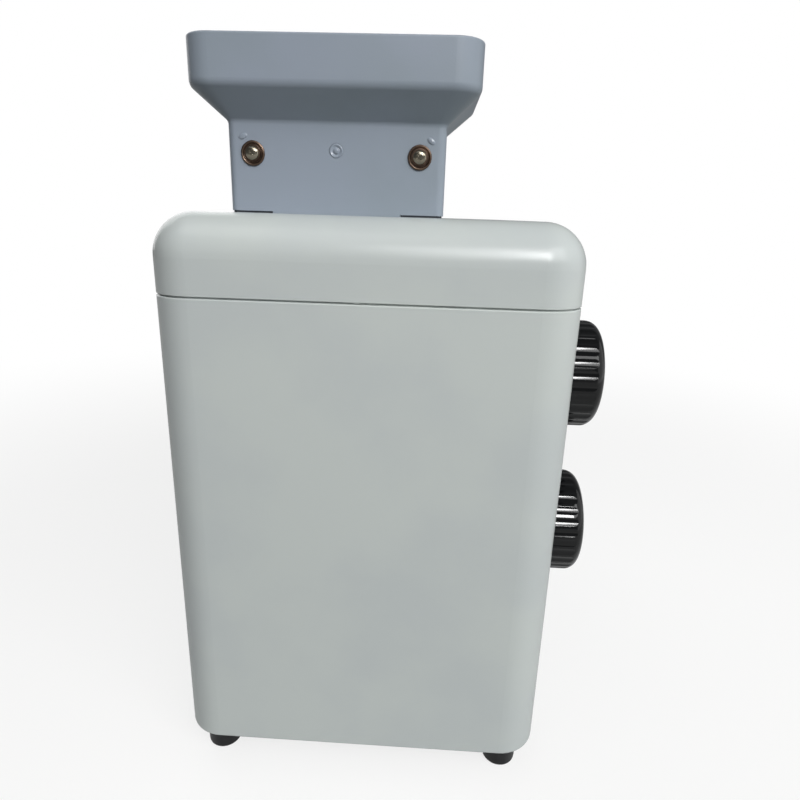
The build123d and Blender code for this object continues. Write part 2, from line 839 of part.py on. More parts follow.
def roll_core(x):
    """The metal core that carries a rubber sleeve."""
    with BuildPart() as core:
        with BuildSketch(across(roll_start_y)):
            with Locations((x, axis_z)):
                Circle(core_radius)
                Circle(shaft_radius + seat_gap, mode=Mode.SUBTRACT)
        extrude(amount=-roll_length)
        for face_y, inward in ((roll_start_y, -1), (roll_start_y + roll_length, 1)):
            with BuildSketch(across(face_y)):
                with Locations((x, axis_z)):
                    Circle(core_recess_outer_radius)
                    Circle(core_recess_inner_radius, mode=Mode.SUBTRACT)
            extrude(amount=inward * core_recess_depth, mode=Mode.SUBTRACT)
    return core


def roll_sleeve(x):
    """The rubber sleeve that hulls the grain."""
    with BuildPart() as sleeve:
        with BuildSketch(across(roll_start_y)):
            with Locations((x, axis_z)):
                Circle(roll_diameter / 2)
                Circle(core_radius + seat_gap, mode=Mode.SUBTRACT)
        extrude(amount=-roll_length)
        outer_edges = sleeve.edges().filter_by(GeomType.CIRCLE).group_by(SortBy.RADIUS)[-1]
        chamfer(outer_edges, sleeve_edge_bevel)
    return sleeve


fast_roll_core = roll_core(fast_x)
fast_roll_core.part.label = "fast_roll_core"
export_step(fast_roll_core.part, "parts/fast_roll_core.step")

fast_roll_sleeve = roll_sleeve(fast_x)
fast_roll_sleeve.part.label = "fast_roll_sleeve"
export_step(fast_roll_sleeve.part, "parts/fast_roll_sleeve.step")

# Slow roll on a carriage that slides to set the gap between the rolls
nut_body_radius = 9.0
nut_flange_radius = 12.0
nut_flange_thickness = 2.5
thread_radius = 5.0
arm_half_height = 17.0
arm_corner_radius = 6.0
arm_faces = (front_inner_y + slide_gap, mid_inner_y - slide_gap - arm_thickness)

with BuildPart() as roll_carriage:
    for arm_y in arm_faces:
        with BuildSketch(across(arm_y)):
            with Locations((slow_x - tongue_width / 2, axis_z)):
                Rectangle(
                    carriage_reach + tongue_width / 2,
                    2 * arm_half_height,
                    align=(Align.MIN, Align.CENTER),
                )
        extrude(amount=-arm_thickness)
    fillet(roll_carriage.edges().filter_by(Axis.Y).group_by(Axis.X)[0], arm_corner_radius)
    with BuildSketch(along(bridge_x - bridge_thickness)):
        with Locations((roll_y, axis_z)):
            Rectangle(2 * (half_frame - slide_gap), 2 * arm_half_height)
    extrude(amount=bridge_thickness)
    for tongue_y in (front_inner_y - plate_thickness, mid_inner_y - slide_gap):
        with BuildSketch(across(tongue_y)):
            with Locations((slow_x, axis_z)):
                Rectangle(tongue_width, tongue_height)
        extrude(amount=-(plate_thickness + slide_gap))
    with BuildSketch(across(front_inner_y - plate_thickness - overrun)):
        with Locations((slow_x, axis_z)):
            Circle(shaft_hole_radius)
    extrude(amount=-2 * (half_frame + plate_thickness + overrun), mode=Mode.SUBTRACT)
    for seat_y in (arm_faces[0] + arm_thickness - bearing_width, arm_faces[1]):
        with BuildSketch(across(seat_y)):
            with Locations((slow_x, axis_z)):
                Circle(bearing_radius + seat_gap)
        extrude(amount=-bearing_width, mode=Mode.SUBTRACT)
    with BuildSketch(along(bridge_x - bridge_thickness)):
        with Locations((roll_y, axis_z)):
            Circle(nut_body_radius + seat_gap)
    extrude(amount=bridge_thickness, mode=Mode.SUBTRACT)

roll_carriage.part.label = "roll_carriage"
export_step(roll_carriage.part, "parts/roll_carriage.step")

slow_bearings = ball_bearings(
    (arm_faces[0] + arm_thickness - bearing_width, arm_faces[1]), slow_x
)
slow_bearings.part.label = "slow_bearings"
export_step(slow_bearings.part, "parts/slow_bearings.step")

with BuildPart() as gap_nut:
    with BuildSketch(along(bridge_x - bridge_thickness)):
        with Locations((roll_y, axis_z)):
            Circle(nut_body_radius)
    extrude(amount=bridge_thickness)
    with BuildSketch(along(bridge_x)):
        with Locations((roll_y, axis_z)):
            Circle(nut_flange_radius)
    extrude(amount=nut_flange_thickness)
    with BuildSketch(along(bridge_x - bridge_thickness)):
        with Locations((roll_y, axis_z)):
            Circle(thread_radius + turn_gap)
    extrude(amount=bridge_thickness + nut_flange_thickness, mode=Mode.SUBTRACT)

gap_nut.part.label = "gap_nut"
export_step(gap_nut.part, "parts/gap_nut.step")

slow_roll_core = roll_core(slow_x)
slow_roll_core.part.label = "slow_roll_core"
export_step(slow_roll_core.part, "parts/slow_roll_core.step")

slow_roll_sleeve = roll_sleeve(slow_x)
slow_roll_sleeve.part.label = "slow_roll_sleeve"
export_step(slow_roll_sleeve.part, "parts/slow_roll_sleeve.step")

# Gears: the fast roll drives the slow one through one pair behind the middle plate
fast_teeth = 30
slow_teeth = 38
gear_width = 8.0
gear_start_gap = 2.0
gear_module = 2 * (roll_diameter + roll_gap) / (fast_teeth + slow_teeth)
pressure_angle = 20
addendum_share = 0.8
dedendum_share = 1.3
thinning_share = 0.2
web_share = 0.55
hub_radius = 9.0
hub_length = 3.0
web_recess = 1.5
gear_y = bay_y + gear_start_gap

slow_shaft = turned_along_y(
    [(front_inner_y - shaft_end_gap, gear_y + gear_width + hub_length, shaft_radius)],
    slow_x,
    axis_z,
)
slow_shaft.part.label = "slow_shaft"
export_step(slow_shaft.part, "parts/slow_shaft.step")


def spur_gear(teeth, x, turn):
    """A spur gear whose first tooth points along +X, turned by an angle."""
    pitch_radius = gear_module * teeth / 2
    tip_radius = pitch_radius + addendum_share * gear_module
    root_radius = pitch_radius - dedendum_share * gear_module
    flank = tan(radians(pressure_angle + 90 / teeth))
    half_tooth = gear_module * (pi / 4 - thinning_share)
    half_tip = half_tooth - (tip_radius - pitch_radius) * flank
    half_root = half_tooth + (pitch_radius - root_radius) * flank
    foot_radius_inside = root_radius - addendum_share * gear_module
    with BuildPart() as gear:
        with BuildSketch(across(gear_y)):
            with Locations((x, axis_z)):
                Circle(root_radius)
                with PolarLocations(0, teeth, start_angle=turn):
                    Polygon(
                        (foot_radius_inside, -half_root),
                        (root_radius, -half_root),
                        (tip_radius, -half_tip),
                        (tip_radius, half_tip),
                        (root_radius, half_root),
                        (foot_radius_inside, half_root),
                        align=None,
                    )
        extrude(amount=-gear_width)
        with BuildSketch(across(gear_y + gear_width)):
            with Locations((x, axis_z)):
                Circle(root_radius * (1 + web_share) / 2)
                Circle(hub_radius, mode=Mode.SUBTRACT)
        extrude(amount=web_recess, mode=Mode.SUBTRACT)
        with BuildSketch(across(gear_y + gear_width)):
            with Locations((x, axis_z)):
                Circle(hub_radius)
        extrude(amount=-hub_length)
        with BuildSketch(across(gear_y)):
            with Locations((x, axis_z)):
                Circle(shaft_radius + seat_gap)
        extrude(amount=-(gear_width + hub_length), mode=Mode.SUBTRACT)
    return gear


fast_gear = spur_gear(fast_teeth, fast_x, 0)
fast_gear.part.label = "fast_gear"
export_step(fast_gear.part, "parts/fast_gear.step")

slow_gear = spur_gear(slow_teeth, slow_x, 180 / slow_teeth)
slow_gear.part.label = "slow_gear"
export_step(slow_gear.part, "parts/slow_gear.step")

# Belt drive from the motor to the fast roll
motor_pulley_radius = 14.0
fast_pulley_radius = 21.0
pulley_width = 10.0
pulley_flange = 1.0
pulley_flange_rise = 2.0
belt_thickness = 2.2
belt_gap = 0.3
pulley_y = motor_plate_y - housing_depth - pulley_width - shaft_end_gap


def belt_pulley(x, z, radius):
    """A flanged pulley on a shaft."""
    flange_radius = radius + pulley_flange_rise
    with BuildPart() as pulley:
        with BuildSketch(across(pulley_y)):
            with Locations((x, z)):
                Circle(flange_radius)
        extrude(amount=-pulley_width)
        with BuildSketch(across(pulley_y + pulley_flange)):
            with Locations((x, z)):
                Circle(flange_radius)
                Circle(radius, mode=Mode.SUBTRACT)
        extrude(amount=-(pulley_width - 2 * pulley_flange), mode=Mode.SUBTRACT)
        with BuildSketch(across(pulley_y)):
            with Locations((x, z)):
                Circle(shaft_radius + seat_gap)
        extrude(amount=-pulley_width, mode=Mode.SUBTRACT)
    return pulley


fast_pulley = belt_pulley(fast_x, axis_z, fast_pulley_radius)
fast_pulley.part.label = "fast_pulley"
export_step(fast_pulley.part, "parts/fast_pulley.step")

motor_pulley = belt_pulley(fan_x, fan_z, motor_pulley_radius)
motor_pulley.part.label = "motor_pulley"
export_step(motor_pulley.part, "parts/motor_pulley.step")

with BuildPart() as drive_belt:
    with BuildSketch(across(pulley_y + pulley_flange + belt_gap)):
        with Locations((fast_x, axis_z)):
            Circle(fast_pulley_radius + belt_gap + belt_thickness)
        with Locations((fan_x, fan_z)):
            Circle(motor_pulley_radius + belt_gap + belt_thickness)
        make_hull()
        offset(amount=-belt_thickness, mode=Mode.SUBTRACT)
    extrude(amount=-(pulley_width - 2 * (pulley_flange + belt_gap)))

drive_belt.part.label = "drive_belt"
export_step(drive_belt.part, "parts/drive_belt.step")

# Gap knob: a fluted knob on a threaded spindle that draws the carriage
knob_gap = 0.8
knob_edge_radius = 7.0
knob_bore_depth = 14.0
knob_dish_radius = 19.0
knob_dish_depth = 1.5
flute_count = 30
flute_radius = 7.0
flute_depth = 0.5
spindle_collar_radius = 7.5
spindle_collar_width = 3.0
nut_stub = 0.5


def fluted_knob(z):
    """A fluted knob outside the operator's side of the casing."""
    with BuildPart() as knob:
        with BuildSketch(along(side_x + knob_gap)):
            with Locations((roll_y, z)):
                Circle(knob_diameter / 2)
        extrude(amount=knob_reach - knob_gap)
        fillet(knob.edges().sort_by(Axis.X)[-1], knob_edge_radius)
        with BuildSketch(along(side_x + knob_gap)):
            with Locations((roll_y, z)):
                with PolarLocations(knob_diameter / 2 + flute_radius - flute_depth, flute_count):
                    Circle(flute_radius)
        extrude(amount=knob_reach, mode=Mode.SUBTRACT)
        with BuildSketch(along(side_x + knob_reach)):
            with Locations((roll_y, z)):
                Circle(knob_dish_radius)
        extrude(amount=-knob_dish_depth, mode=Mode.SUBTRACT)
        with BuildSketch(along(side_x + knob_gap)):
            with Locations((roll_y, z)):
                Circle(spindle_radius + seat_gap)
        extrude(amount=knob_bore_depth, mode=Mode.SUBTRACT)
    return knob


gap_knob = fluted_knob(axis_z)
gap_knob.part.label = "gap_knob"
export_step(gap_knob.part, "parts/gap_knob.step")

air_knob = fluted_knob(fan_z)
air_knob.part.label = "air_knob"
export_step(air_knob.part, "parts/air_knob.step")

collar_inner_x = side_plate_x - slide_gap
collar_outer_x = side_plate_x + side_plate_thickness + bush_flange_thickness + slide_gap
knob_shaft_end_x = side_x + knob_gap + knob_bore_depth
gap_spindle = turned_along_x(
    [
        (bridge_x - bridge_thickness - nut_stub, collar_inner_x, thread_radius),
        (collar_inner_x - spindle_collar_width, collar_inner_x, spindle_collar_radius),
        (collar_inner_x, knob_shaft_end_x, spindle_radius),
        (collar_outer_x, collar_outer_x + spindle_collar_width, spindle_collar_radius),
    ],
    roll_y,
    axis_z,
)
gap_spindle.part.label = "gap_spindle"
export_step(gap_spindle.part, "parts/gap_spindle.step")

# Pressure spring: takes the slack out of the spindle's thread
wire_radius = 1.2
spring_radius = 14.5
spring_pitch = 5.0
spring_seat = wire_radius + slide_gap
spring_height = spring_space - 2 * spring_seat

with BuildPart() as pressure_spring:
    with BuildLine():
        coil = Helix(
            pitch=spring_pitch,
            height=spring_height,
            radius=spring_radius,
            center=(bridge_x + spring_seat, roll_y, axis_z),
            direction=(1, 0, 0),
        )
    with BuildSketch(Plane(origin=coil @ 0, z_dir=coil % 0)):
        Circle(wire_radius)
    sweep(is_frenet=True)

pressure_spring.part.label = "pressure_spring"
export_step(pressure_spring.part, "parts/pressure_spring.step")

# Separating chute under the nip
sheet = 1.2
chute_width = 56.0
chute_shift = 2.0
chute_top_drop = 29.0
chute_waist_rise = 32.0
chute_foot_width = 24.0
chute_foot_rise = 4.0
chute_left_x = nip_x - chute_width / 2 - chute_shift
chute_right_x = chute_left_x + chute_width
chute_top_z = axis_z - chute_top_drop
chute_foot_z = drawer_z + front_panel_height + chute_foot_rise
chute_waist_z = chute_foot_z + chute_waist_rise
chute_y = front_inner_y + slide_gap
chute_depth = 2 * (half_frame - slide_gap)
duct_half_height = 26.0

with BuildPart() as separation_chute:
    with BuildSketch(across(chute_y)):
        Polygon(
            (chute_left_x, chute_top_z),
            (chute_right_x, chute_top_z),
            (chute_right_x, chute_waist_z),
            (nip_x + chute_foot_width / 2, chute_foot_z),
            (nip_x - chute_foot_width / 2, chute_foot_z),
            (chute_left_x, chute_waist_z),
            align=None,
        )
    extrude(amount=-chute_depth)
    offset(
        amount=-sheet,
        openings=[
            separation_chute.faces().sort_by(Axis.Z)[-1],
            separation_chute.faces().sort_by(Axis.Z)[0],
        ],
    )
    with BuildSketch(along(chute_right_x - overrun)):
        with Locations((roll_y, fan_z)):
            Rectangle(chute_depth - 2 * sheet, 2 * (duct_half_height - sheet))
    extrude(amount=2 * overrun, mode=Mode.SUBTRACT)

separation_chute.part.label = "separation_chute"
export_step(separation_chute.part, "parts/separation_chute.step")

# Air duct: from the chute to the eye of the fan, with bleed windows in its end wall
window_radius = 13.0
window_height = 8.0
window_half_angle = 24
pivot_radius = 2.5
duct_end_gap = 5.0
duct_end_x = fan_x + eye_radius + duct_end_gap
window_arc = CenterArc((0, 0), window_radius, -window_half_angle, 2 * window_half_angle)

with BuildPart() as air_duct:
    with BuildSketch(along(chute_right_x)):
        with Locations((roll_y, fan_z)):
            Rectangle(chute_depth, 2 * duct_half_height)
    extrude(amount=duct_end_x - chute_right_x)
    offset(amount=-sheet, openings=air_duct.faces().sort_by(Axis.X)[0])
    with BuildSketch(along(duct_end_x - overrun)):
        with Locations((roll_y, fan_z)):
            with PolarLocations(0, 2):
                SlotArc(window_arc, window_height)
            Circle(pivot_radius + turn_gap)
    extrude(amount=2 * overrun, mode=Mode.SUBTRACT)
    with BuildSketch(across(mid_inner_y)):
        with Locations((fan_x, fan_z)):
            Circle(eye_radius)
    extrude(amount=2 * overrun, mode=Mode.SUBTRACT)

air_duct.part.label = "air_duct"
export_step(air_duct.part, "parts/air_duct.step")

# Air shutter: a disc with windows, turned by the lower knob to bleed air into the duct
shutter_radius = 22.0
shutter_thickness = 1.5
shutter_hub_radius = 5.5
shutter_x = duct_end_x + slide_gap

with BuildPart() as air_shutter:
    with BuildSketch(along(shutter_x)):
        with Locations((roll_y, fan_z)):
            Circle(shutter_radius)
            with PolarLocations(0, 2):
                SlotArc(window_arc, window_height, mode=Mode.SUBTRACT)
            Circle(spindle_radius + seat_gap, mode=Mode.SUBTRACT)
    extrude(amount=shutter_thickness)

air_shutter.part.label = "air_shutter"
export_step(air_shutter.part, "parts/air_shutter.step")

shutter_shaft = turned_along_x(
    [
        (duct_end_x - sheet - overrun, shutter_x, pivot_radius),
        (shutter_x, knob_shaft_end_x, spindle_radius),
        (shutter_x + shutter_thickness, collar_inner_x, shutter_hub_radius),
        (collar_outer_x, collar_outer_x + spindle_collar_width, spindle_collar_radius),
    ],
    roll_y,
    fan_z,
)
shutter_shaft.part.label = "shutter_shaft"
export_step(shutter_shaft.part, "parts/shutter_shaft.step")

# Fan housing: a scroll that blows down into the husk drawer
scroll_share = 0.36
scroll_radius = scroll_share * fan_height
scroll_step = 4.0
outlet_width = 30.0
outlet_rise = 3.0
scroll_depth = 22.0
outlet_z = drawer_z + front_panel_height + outlet_rise
outlet_left_x = fan_x - scroll_radius - 3 * scroll_step

with BuildPart() as fan_housing:
    with BuildSketch(across(bay_y)) as scroll_outline:
        with BuildLine():
            tongue_arc = CenterArc((fan_x, fan_z), scroll_radius, -90, 90)
            CenterArc((fan_x - scroll_step, fan_z), scroll_radius + scroll_step, 0, 90)
            widest_arc = CenterArc(
                (fan_x - scroll_step, fan_z - scroll_step), scroll_radius + 2 * scroll_step, 90, 90
            )
            Polyline(
                widest_arc @ 1,
                (outlet_left_x, outlet_z),
                (outlet_left_x + outlet_width, outlet_z),
                tongue_arc @ 0,
            )
        make_face()
    extrude(amount=-scroll_depth)
    with BuildSketch(across(bay_y)):
        add(scroll_outline.sketch_local)
        offset(amount=-sheet)
        with Locations((outlet_left_x + outlet_width / 2, outlet_z)):
            Rectangle(outlet_width - 2 * sheet, 2 * overrun)
    extrude(amount=-(scroll_depth - sheet), mode=Mode.SUBTRACT)
    with BuildSketch(across(bay_y + scroll_depth - overrun)):
        with Locations((fan_x, fan_z)):
            Circle(shaft_hole_radius)
    extrude(amount=-2 * overrun, mode=Mode.SUBTRACT)

fan_housing.part.label = "fan_housing"
export_step(fan_housing.part, "parts/fan_housing.step")

# Impeller on the motor's shaft
impeller_clearance = 3.0
impeller_radius = scroll_radius - impeller_clearance
impeller_gap = 2.0
disc_thickness = 1.2
blade_count = 18
blade_length = 11.0
blade_thickness = 1.0
blade_angle = 35
blade_inset = 7.0
blade_circle_radius = impeller_radius - blade_inset
ring_width = 3.0
impeller_hub_radius = 8.5
impeller_y = bay_y + impeller_gap
impeller_width = scroll_depth - sheet - 2 * impeller_gap

with BuildPart() as fan_impeller:
    with BuildSketch(across(impeller_y + impeller_width - disc_thickness)):
        with Locations((fan_x, fan_z)):
            Circle(impeller_radius)
    extrude(amount=-disc_thickness)
    with BuildSketch(across(impeller_y)):
        with Locations((fan_x, fan_z)):
            with PolarLocations(blade_circle_radius, blade_count):
                Rectangle(blade_length, blade_thickness, rotation=blade_angle)
    extrude(amount=-impeller_width)
    with BuildSketch(across(impeller_y)):
        with Locations((fan_x, fan_z)):
            Circle(impeller_radius)
            Circle(impeller_radius - ring_width, mode=Mode.SUBTRACT)
    extrude(amount=-disc_thickness)
    with BuildSketch(across(impeller_y + impeller_width / 2)):
        with Locations((fan_x, fan_z)):
            Circle(impeller_hub_radius)
    extrude(amount=-impeller_width / 2)
    with BuildSketch(across(impeller_y)):
        with Locations((fan_x, fan_z)):
            Circle(shaft_radius + seat_gap)
    extrude(amount=-impeller_width, mode=Mode.SUBTRACT)

fan_impeller.part.label = "fan_impeller"
export_step(fan_impeller.part, "parts/fan_impeller.step")

# Motor: laminated stator between two end bells, bolted to the rear plate
bell_length = 22.0
bell_wall = 3.0
stator_share = 0.3662
stator_length = stator_share * (rear_y - casing_wall - motor_y)
stator_bore_radius = 24.0
rotor_gap = 0.5
rotor_inset = 3.0
bell_boss_radius = 14.0
bell_vent_width = 12.0
bell_vent_length = 9.0
bell_vent_count = 8
stator_y = motor_y + bell_length
rear_bell_y = stator_y + stator_length
motor_end_y = rear_bell_y + bell_length
bolt_head_radius = 4.2
bolt_head_height = 3.0
bolt_nose = 3.0


def end_bell(face_y, inward):
    """A cast cup with vents and a bearing boss, from its closed face."""
    with BuildPart() as bell:
        with BuildSketch(across(face_y)):
            with Locations((fan_x, fan_z)):
                Circle(motor_radius)
        extrude(amount=-inward * bell_length)
        with BuildSketch(across(face_y + inward * bell_wall)):
            with Locations((fan_x, fan_z)):
                Circle(motor_radius - bell_wall)
                Circle(bell_boss_radius, mode=Mode.SUBTRACT)
                with PolarLocations(motor_bolt_circle_radius, 4, start_angle=45):
                    Circle(bolt_head_radius + bell_wall, mode=Mode.SUBTRACT)
        extrude(amount=-inward * bell_length, mode=Mode.SUBTRACT)
        with BuildSketch(across(face_y + inward * bell_wall)):
            with Locations((fan_x, fan_z)):
                with PolarLocations(motor_radius, bell_vent_count):
                    Rectangle(bell_vent_width, bell_vent_length)
        extrude(amount=-inward * (bell_length - 2 * bell_wall), mode=Mode.SUBTRACT)
        with BuildSketch(across(face_y)):
            with Locations((fan_x, fan_z)):
                Circle(shaft_radius + turn_gap)
                with PolarLocations(motor_bolt_circle_radius, 4, start_angle=45):
                    Circle(motor_bolt_radius + turn_gap)
        extrude(amount=-inward * bell_length, mode=Mode.SUBTRACT)
    return bell


motor_front_bell = end_bell(motor_y, 1)
motor_front_bell.part.label = "motor_front_bell"
export_step(motor_front_bell.part, "parts/motor_front_bell.step")

motor_rear_bell = end_bell(motor_end_y, -1)
motor_rear_bell.part.label = "motor_rear_bell"
export_step(motor_rear_bell.part, "parts/motor_rear_bell.step")

with BuildPart() as motor_stator:
    with BuildSketch(across(stator_y)):
        with Locations((fan_x, fan_z)):
            Circle(motor_radius)
            Circle(stator_bore_radius, mode=Mode.SUBTRACT)
            with PolarLocations(motor_bolt_circle_radius, 4, start_angle=45):
                Circle(motor_bolt_radius + turn_gap, mode=Mode.SUBTRACT)
    extrude(amount=-stator_length)

motor_stator.part.label = "motor_stator"
export_step(motor_stator.part, "parts/motor_stator.step")

rotor_y = stator_y + rotor_inset
rotor_length = stator_length - 2 * rotor_inset
motor_shaft = turned_along_y(
    [
        (impeller_y, motor_end_y + shaft_end_gap, shaft_radius),
        (rotor_y, rotor_y + rotor_length, stator_bore_radius - rotor_gap),
    ],
    fan_x,
    fan_z,
)
motor_shaft.part.label = "motor_shaft"
export_step(motor_shaft.part, "parts/motor_shaft.step")

with BuildPart() as motor_bolts:
    with BuildSketch(across(motor_plate_y - bolt_nose)):
        with Locations((fan_x, fan_z)):
            with PolarLocations(motor_bolt_circle_radius, 4, start_angle=45):
                Circle(motor_bolt_radius)
    extrude(amount=-(motor_end_y - motor_plate_y + bolt_nose))
    with BuildSketch(across(motor_end_y)):
        with Locations((fan_x, fan_z)):
            with PolarLocations(motor_bolt_circle_radius, 4, start_angle=45):
                Circle(bolt_head_radius)
    extrude(amount=-bolt_head_height)

motor_bolts.part.label = "motor_bolts"
export_step(motor_bolts.part, "parts/motor_bolts.step")

# Run capacitor in a clip on the base plate
capacitor_radius = 17.0
capacitor_length = 58.0
capacitor_lift = 2.0
capacitor_edge_radius = 2.0
capacitor_inset = 38.0
capacitor_share = 0.32
capacitor_room = rear_y - inlet_depth - motor_y - capacitor_length
clip_width = 14.0
clip_thickness = 1.5
clip_foot = 12.0
capacitor_x = mid_x - body_width / 2 + capacitor_inset
capacitor_z = deck_z + capacitor_lift + capacitor_radius
capacitor_y = motor_y + capacitor_share * capacitor_room
clip_y = capacitor_y + (capacitor_length - clip_width) / 2

with BuildPart() as run_capacitor:
    with BuildSketch(across(capacitor_y)):
        with Locations((capacitor_x, capacitor_z)):
            Circle(capacitor_radius)
    extrude(amount=-capacitor_length)
    fillet(run_capacitor.edges().filter_by(GeomType.CIRCLE), capacitor_edge_radius)

run_capacitor.part.label = "run_capacitor"
export_step(run_capacitor.part, "parts/run_capacitor.step")

with BuildPart() as capacitor_clip:
    with BuildSketch(across(clip_y)):
        with Locations((capacitor_x, deck_z)):
            Rectangle(
                2 * (capacitor_radius + clip_foot), clip_thickness, align=(Align.CENTER, Align.MIN)
            )
            Rectangle(
                2 * (capacitor_radius - clip_thickness),
                capacitor_lift + clip_thickness,
                align=(Align.CENTER, Align.MIN),
            )
        with Locations((capacitor_x, capacitor_z)):
            Circle(capacitor_radius + seat_gap + clip_thickness)
            Circle(capacitor_radius + seat_gap, mode=Mode.SUBTRACT)
    extrude(amount=-clip_width)

capacitor_clip.part.label = "capacitor_clip"
export_step(capacitor_clip.part, "parts/capacitor_clip.step")

# Drawers: open trays whose fronts lie flush in the casing
drawer_wall = 1.8
drawer_back_inset = 14.0
drawer_corner_radius = 4.0
front_panel_thickness = casing_wall
finger_radius = 11.0
drawer_back_x = mid_x - body_width / 2 + drawer_back_inset


def drawer(centre_y, width):
    """A tray that slides out to the operator's side."""
    length = side_x - front_panel_thickness - drawer_back_x
    with BuildPart() as tray:
        with BuildSketch(Plane((drawer_back_x, centre_y, drawer_z))):
            Rectangle(length, width, align=(Align.MIN, Align.CENTER))
        extrude(amount=drawer_height)
        fillet(tray.edges().filter_by(Axis.Z).group_by(Axis.X)[0], drawer_corner_radius)
        offset(amount=-drawer_wall, openings=tray.faces().sort_by(Axis.Z)[-1])
        with BuildSketch(along(side_x - front_panel_thickness)):
            with Locations((centre_y, drawer_z)):
                Rectangle(width, front_panel_height, align=(Align.CENTER, Align.MIN))
        extrude(amount=front_panel_thickness)
        with BuildSketch(along(side_x - front_panel_thickness - 2 * drawer_wall)):
            with Locations((centre_y, drawer_z + front_panel_height)):
                Circle(finger_radius)
        extrude(amount=front_panel_thickness + 2 * drawer_wall + overrun, mode=Mode.SUBTRACT)
    return tray


rice_drawer = drawer(*drawers[0])
rice_drawer.part.label = "rice_drawer"
export_step(rice_drawer.part, "parts/rice_drawer.step")

husk_drawer = drawer(*drawers[1])
husk_drawer.part.label = "husk_drawer"
export_step(husk_drawer.part, "parts/husk_drawer.step")

# Rocker switch on the operator's side
bezel_margin = 2.0
bezel_thickness = 1.6
switch_depth = 22.0
switch_fit = 0.2
switch_wall = 1.4
rocker_gap = 0.3
rocker_tilt = 7
rocker_depth = 7.0
rocker_rise = 2.6
rocker_dip = 1.4
cavity_depth = 12.0

with BuildPart() as switch_housing:
    with BuildSketch(along(side_x)):
        with Locations((switch_y, switch_z)):
            RectangleRounded(
                switch_cut_width + 2 * bezel_margin, switch_cut_height + 2 * bezel_margin, bezel_margin
            )
    extrude(amount=bezel_thickness)
    with BuildSketch(along(side_x)):
        with Locations((switch_y, switch_z)):
            Rectangle(switch_cut_width - 2 * switch_fit, switch_cut_height - 2 * switch_fit)
    extrude(amount=-switch_depth)
    with BuildSketch(along(side_x + bezel_thickness)):
        with Locations((switch_y, switch_z)):
            Rectangle(
                switch_cut_width - 2 * (switch_fit + switch_wall),
                switch_cut_height - 2 * (switch_fit + switch_wall),
            )
    extrude(amount=-(bezel_thickness + cavity_depth), mode=Mode.SUBTRACT)

switch_housing.part.label = "switch_housing"
export_step(switch_housing.part, "parts/switch_housing.step")

rocker_width = switch_cut_width - 2 * (switch_fit + switch_wall + rocker_gap)
rocker_height = switch_cut_height - 2 * (switch_fit + switch_wall + 2 * rocker_gap)
rocker_plane = Plane(
    (side_x, switch_y - rocker_width / 2, switch_z),
    x_dir=(cos(radians(rocker_tilt)), 0, sin(radians(rocker_tilt))),
    z_dir=(0, -1, 0),
)
with BuildPart() as switch_rocker:
    with BuildSketch(rocker_plane):
        Polygon(
            (-rocker_depth, -rocker_height / 4),
            (0, -rocker_height / 2),
            (rocker_rise, -rocker_height / 2),
            (rocker_dip, 0),
            (rocker_rise, rocker_height / 2),
            (0, rocker_height / 2),
            (-rocker_depth, rocker_height / 4),
            align=None,
        )
    extrude(amount=-rocker_width)

switch_rocker.part.label = "switch_rocker"
export_step(switch_rocker.part, "parts/switch_rocker.step")

# Power inlet and fuse holder on the back
inlet_flange_width = 48.0
inlet_flange_height = 26.0
inlet_fit = 0.3
inlet_wall = 2.0
socket_depth = 17.0
pin_length = 11.0
pin_thickness = 2.0
pin_width = 4.0
pin_spacing = 7.0
earth_pin_rise = 2.0
inlet_corner_radius = 4.0
socket_bevel = 4.0

with BuildPart() as power_inlet:
    with BuildSketch(across(rear_y)):
        with Locations((inlet_x, inlet_z)):
            RectangleRounded(inlet_flange_width, inlet_flange_height, inlet_corner_radius)
    extrude(amount=-inlet_reach)
    with BuildSketch(across(rear_y)):
        with Locations((inlet_x, inlet_z)):
            Rectangle(inlet_cut_width - 2 * inlet_fit, inlet_cut_height - 2 * inlet_fit)
    extrude(amount=inlet_depth)
    with BuildSketch(across(rear_y + inlet_reach)):
        with Locations((inlet_x, inlet_z)):
            socket = Rectangle(
                inlet_cut_width - 2 * (inlet_fit + inlet_wall),
                inlet_cut_height - 2 * (inlet_fit + inlet_wall),
            )
        chamfer(socket.vertices().group_by(Axis.Z)[-1], socket_bevel)
    extrude(amount=socket_depth, mode=Mode.SUBTRACT)
    with BuildSketch(across(rear_y + inlet_reach - socket_depth)):
        with Locations(
            (inlet_x - pin_spacing, inlet_z - earth_pin_rise),
            (inlet_x + pin_spacing, inlet_z - earth_pin_rise),
            (inlet_x, inlet_z + earth_pin_rise),
        ):
            Rectangle(pin_thickness, pin_width)
    extrude(amount=-pin_length)

power_inlet.part.label = "power_inlet"
export_step(power_inlet.part, "parts/power_inlet.step")

fuse_flange_radius = 8.0
fuse_depth = 26.0
fuse_slot_width = 1.4
fuse_slot_depth = 0.8
with BuildPart() as fuse_holder:
    with BuildSketch(across(rear_y)):
        with Locations((fuse_x, inlet_z)):
            Circle(fuse_flange_radius)
    extrude(amount=-inlet_reach)
    with BuildSketch(across(rear_y)):
        with Locations((fuse_x, inlet_z)):
            Circle(fuse_radius - inlet_fit)
    extrude(amount=fuse_depth)
    with BuildSketch(across(rear_y + inlet_reach)):
        with Locations((fuse_x, inlet_z)):
            Rectangle(2 * fuse_radius, fuse_slot_width)
    extrude(amount=fuse_slot_depth, mode=Mode.SUBTRACT)

fuse_holder.part.label = "fuse_holder"
export_step(fuse_holder.part, "parts/fuse_holder.step")
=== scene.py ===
"""Looks of a bench-top rice huller, dressed round its packed construction model.

The casing, hopper, knobs, feet and everything inside come from the construction model at their
real places. This script gives each of them the finish of its real material, models the fine
forms that the construction leaves out, and sets the photographer's camera, floor and lamps.
"""

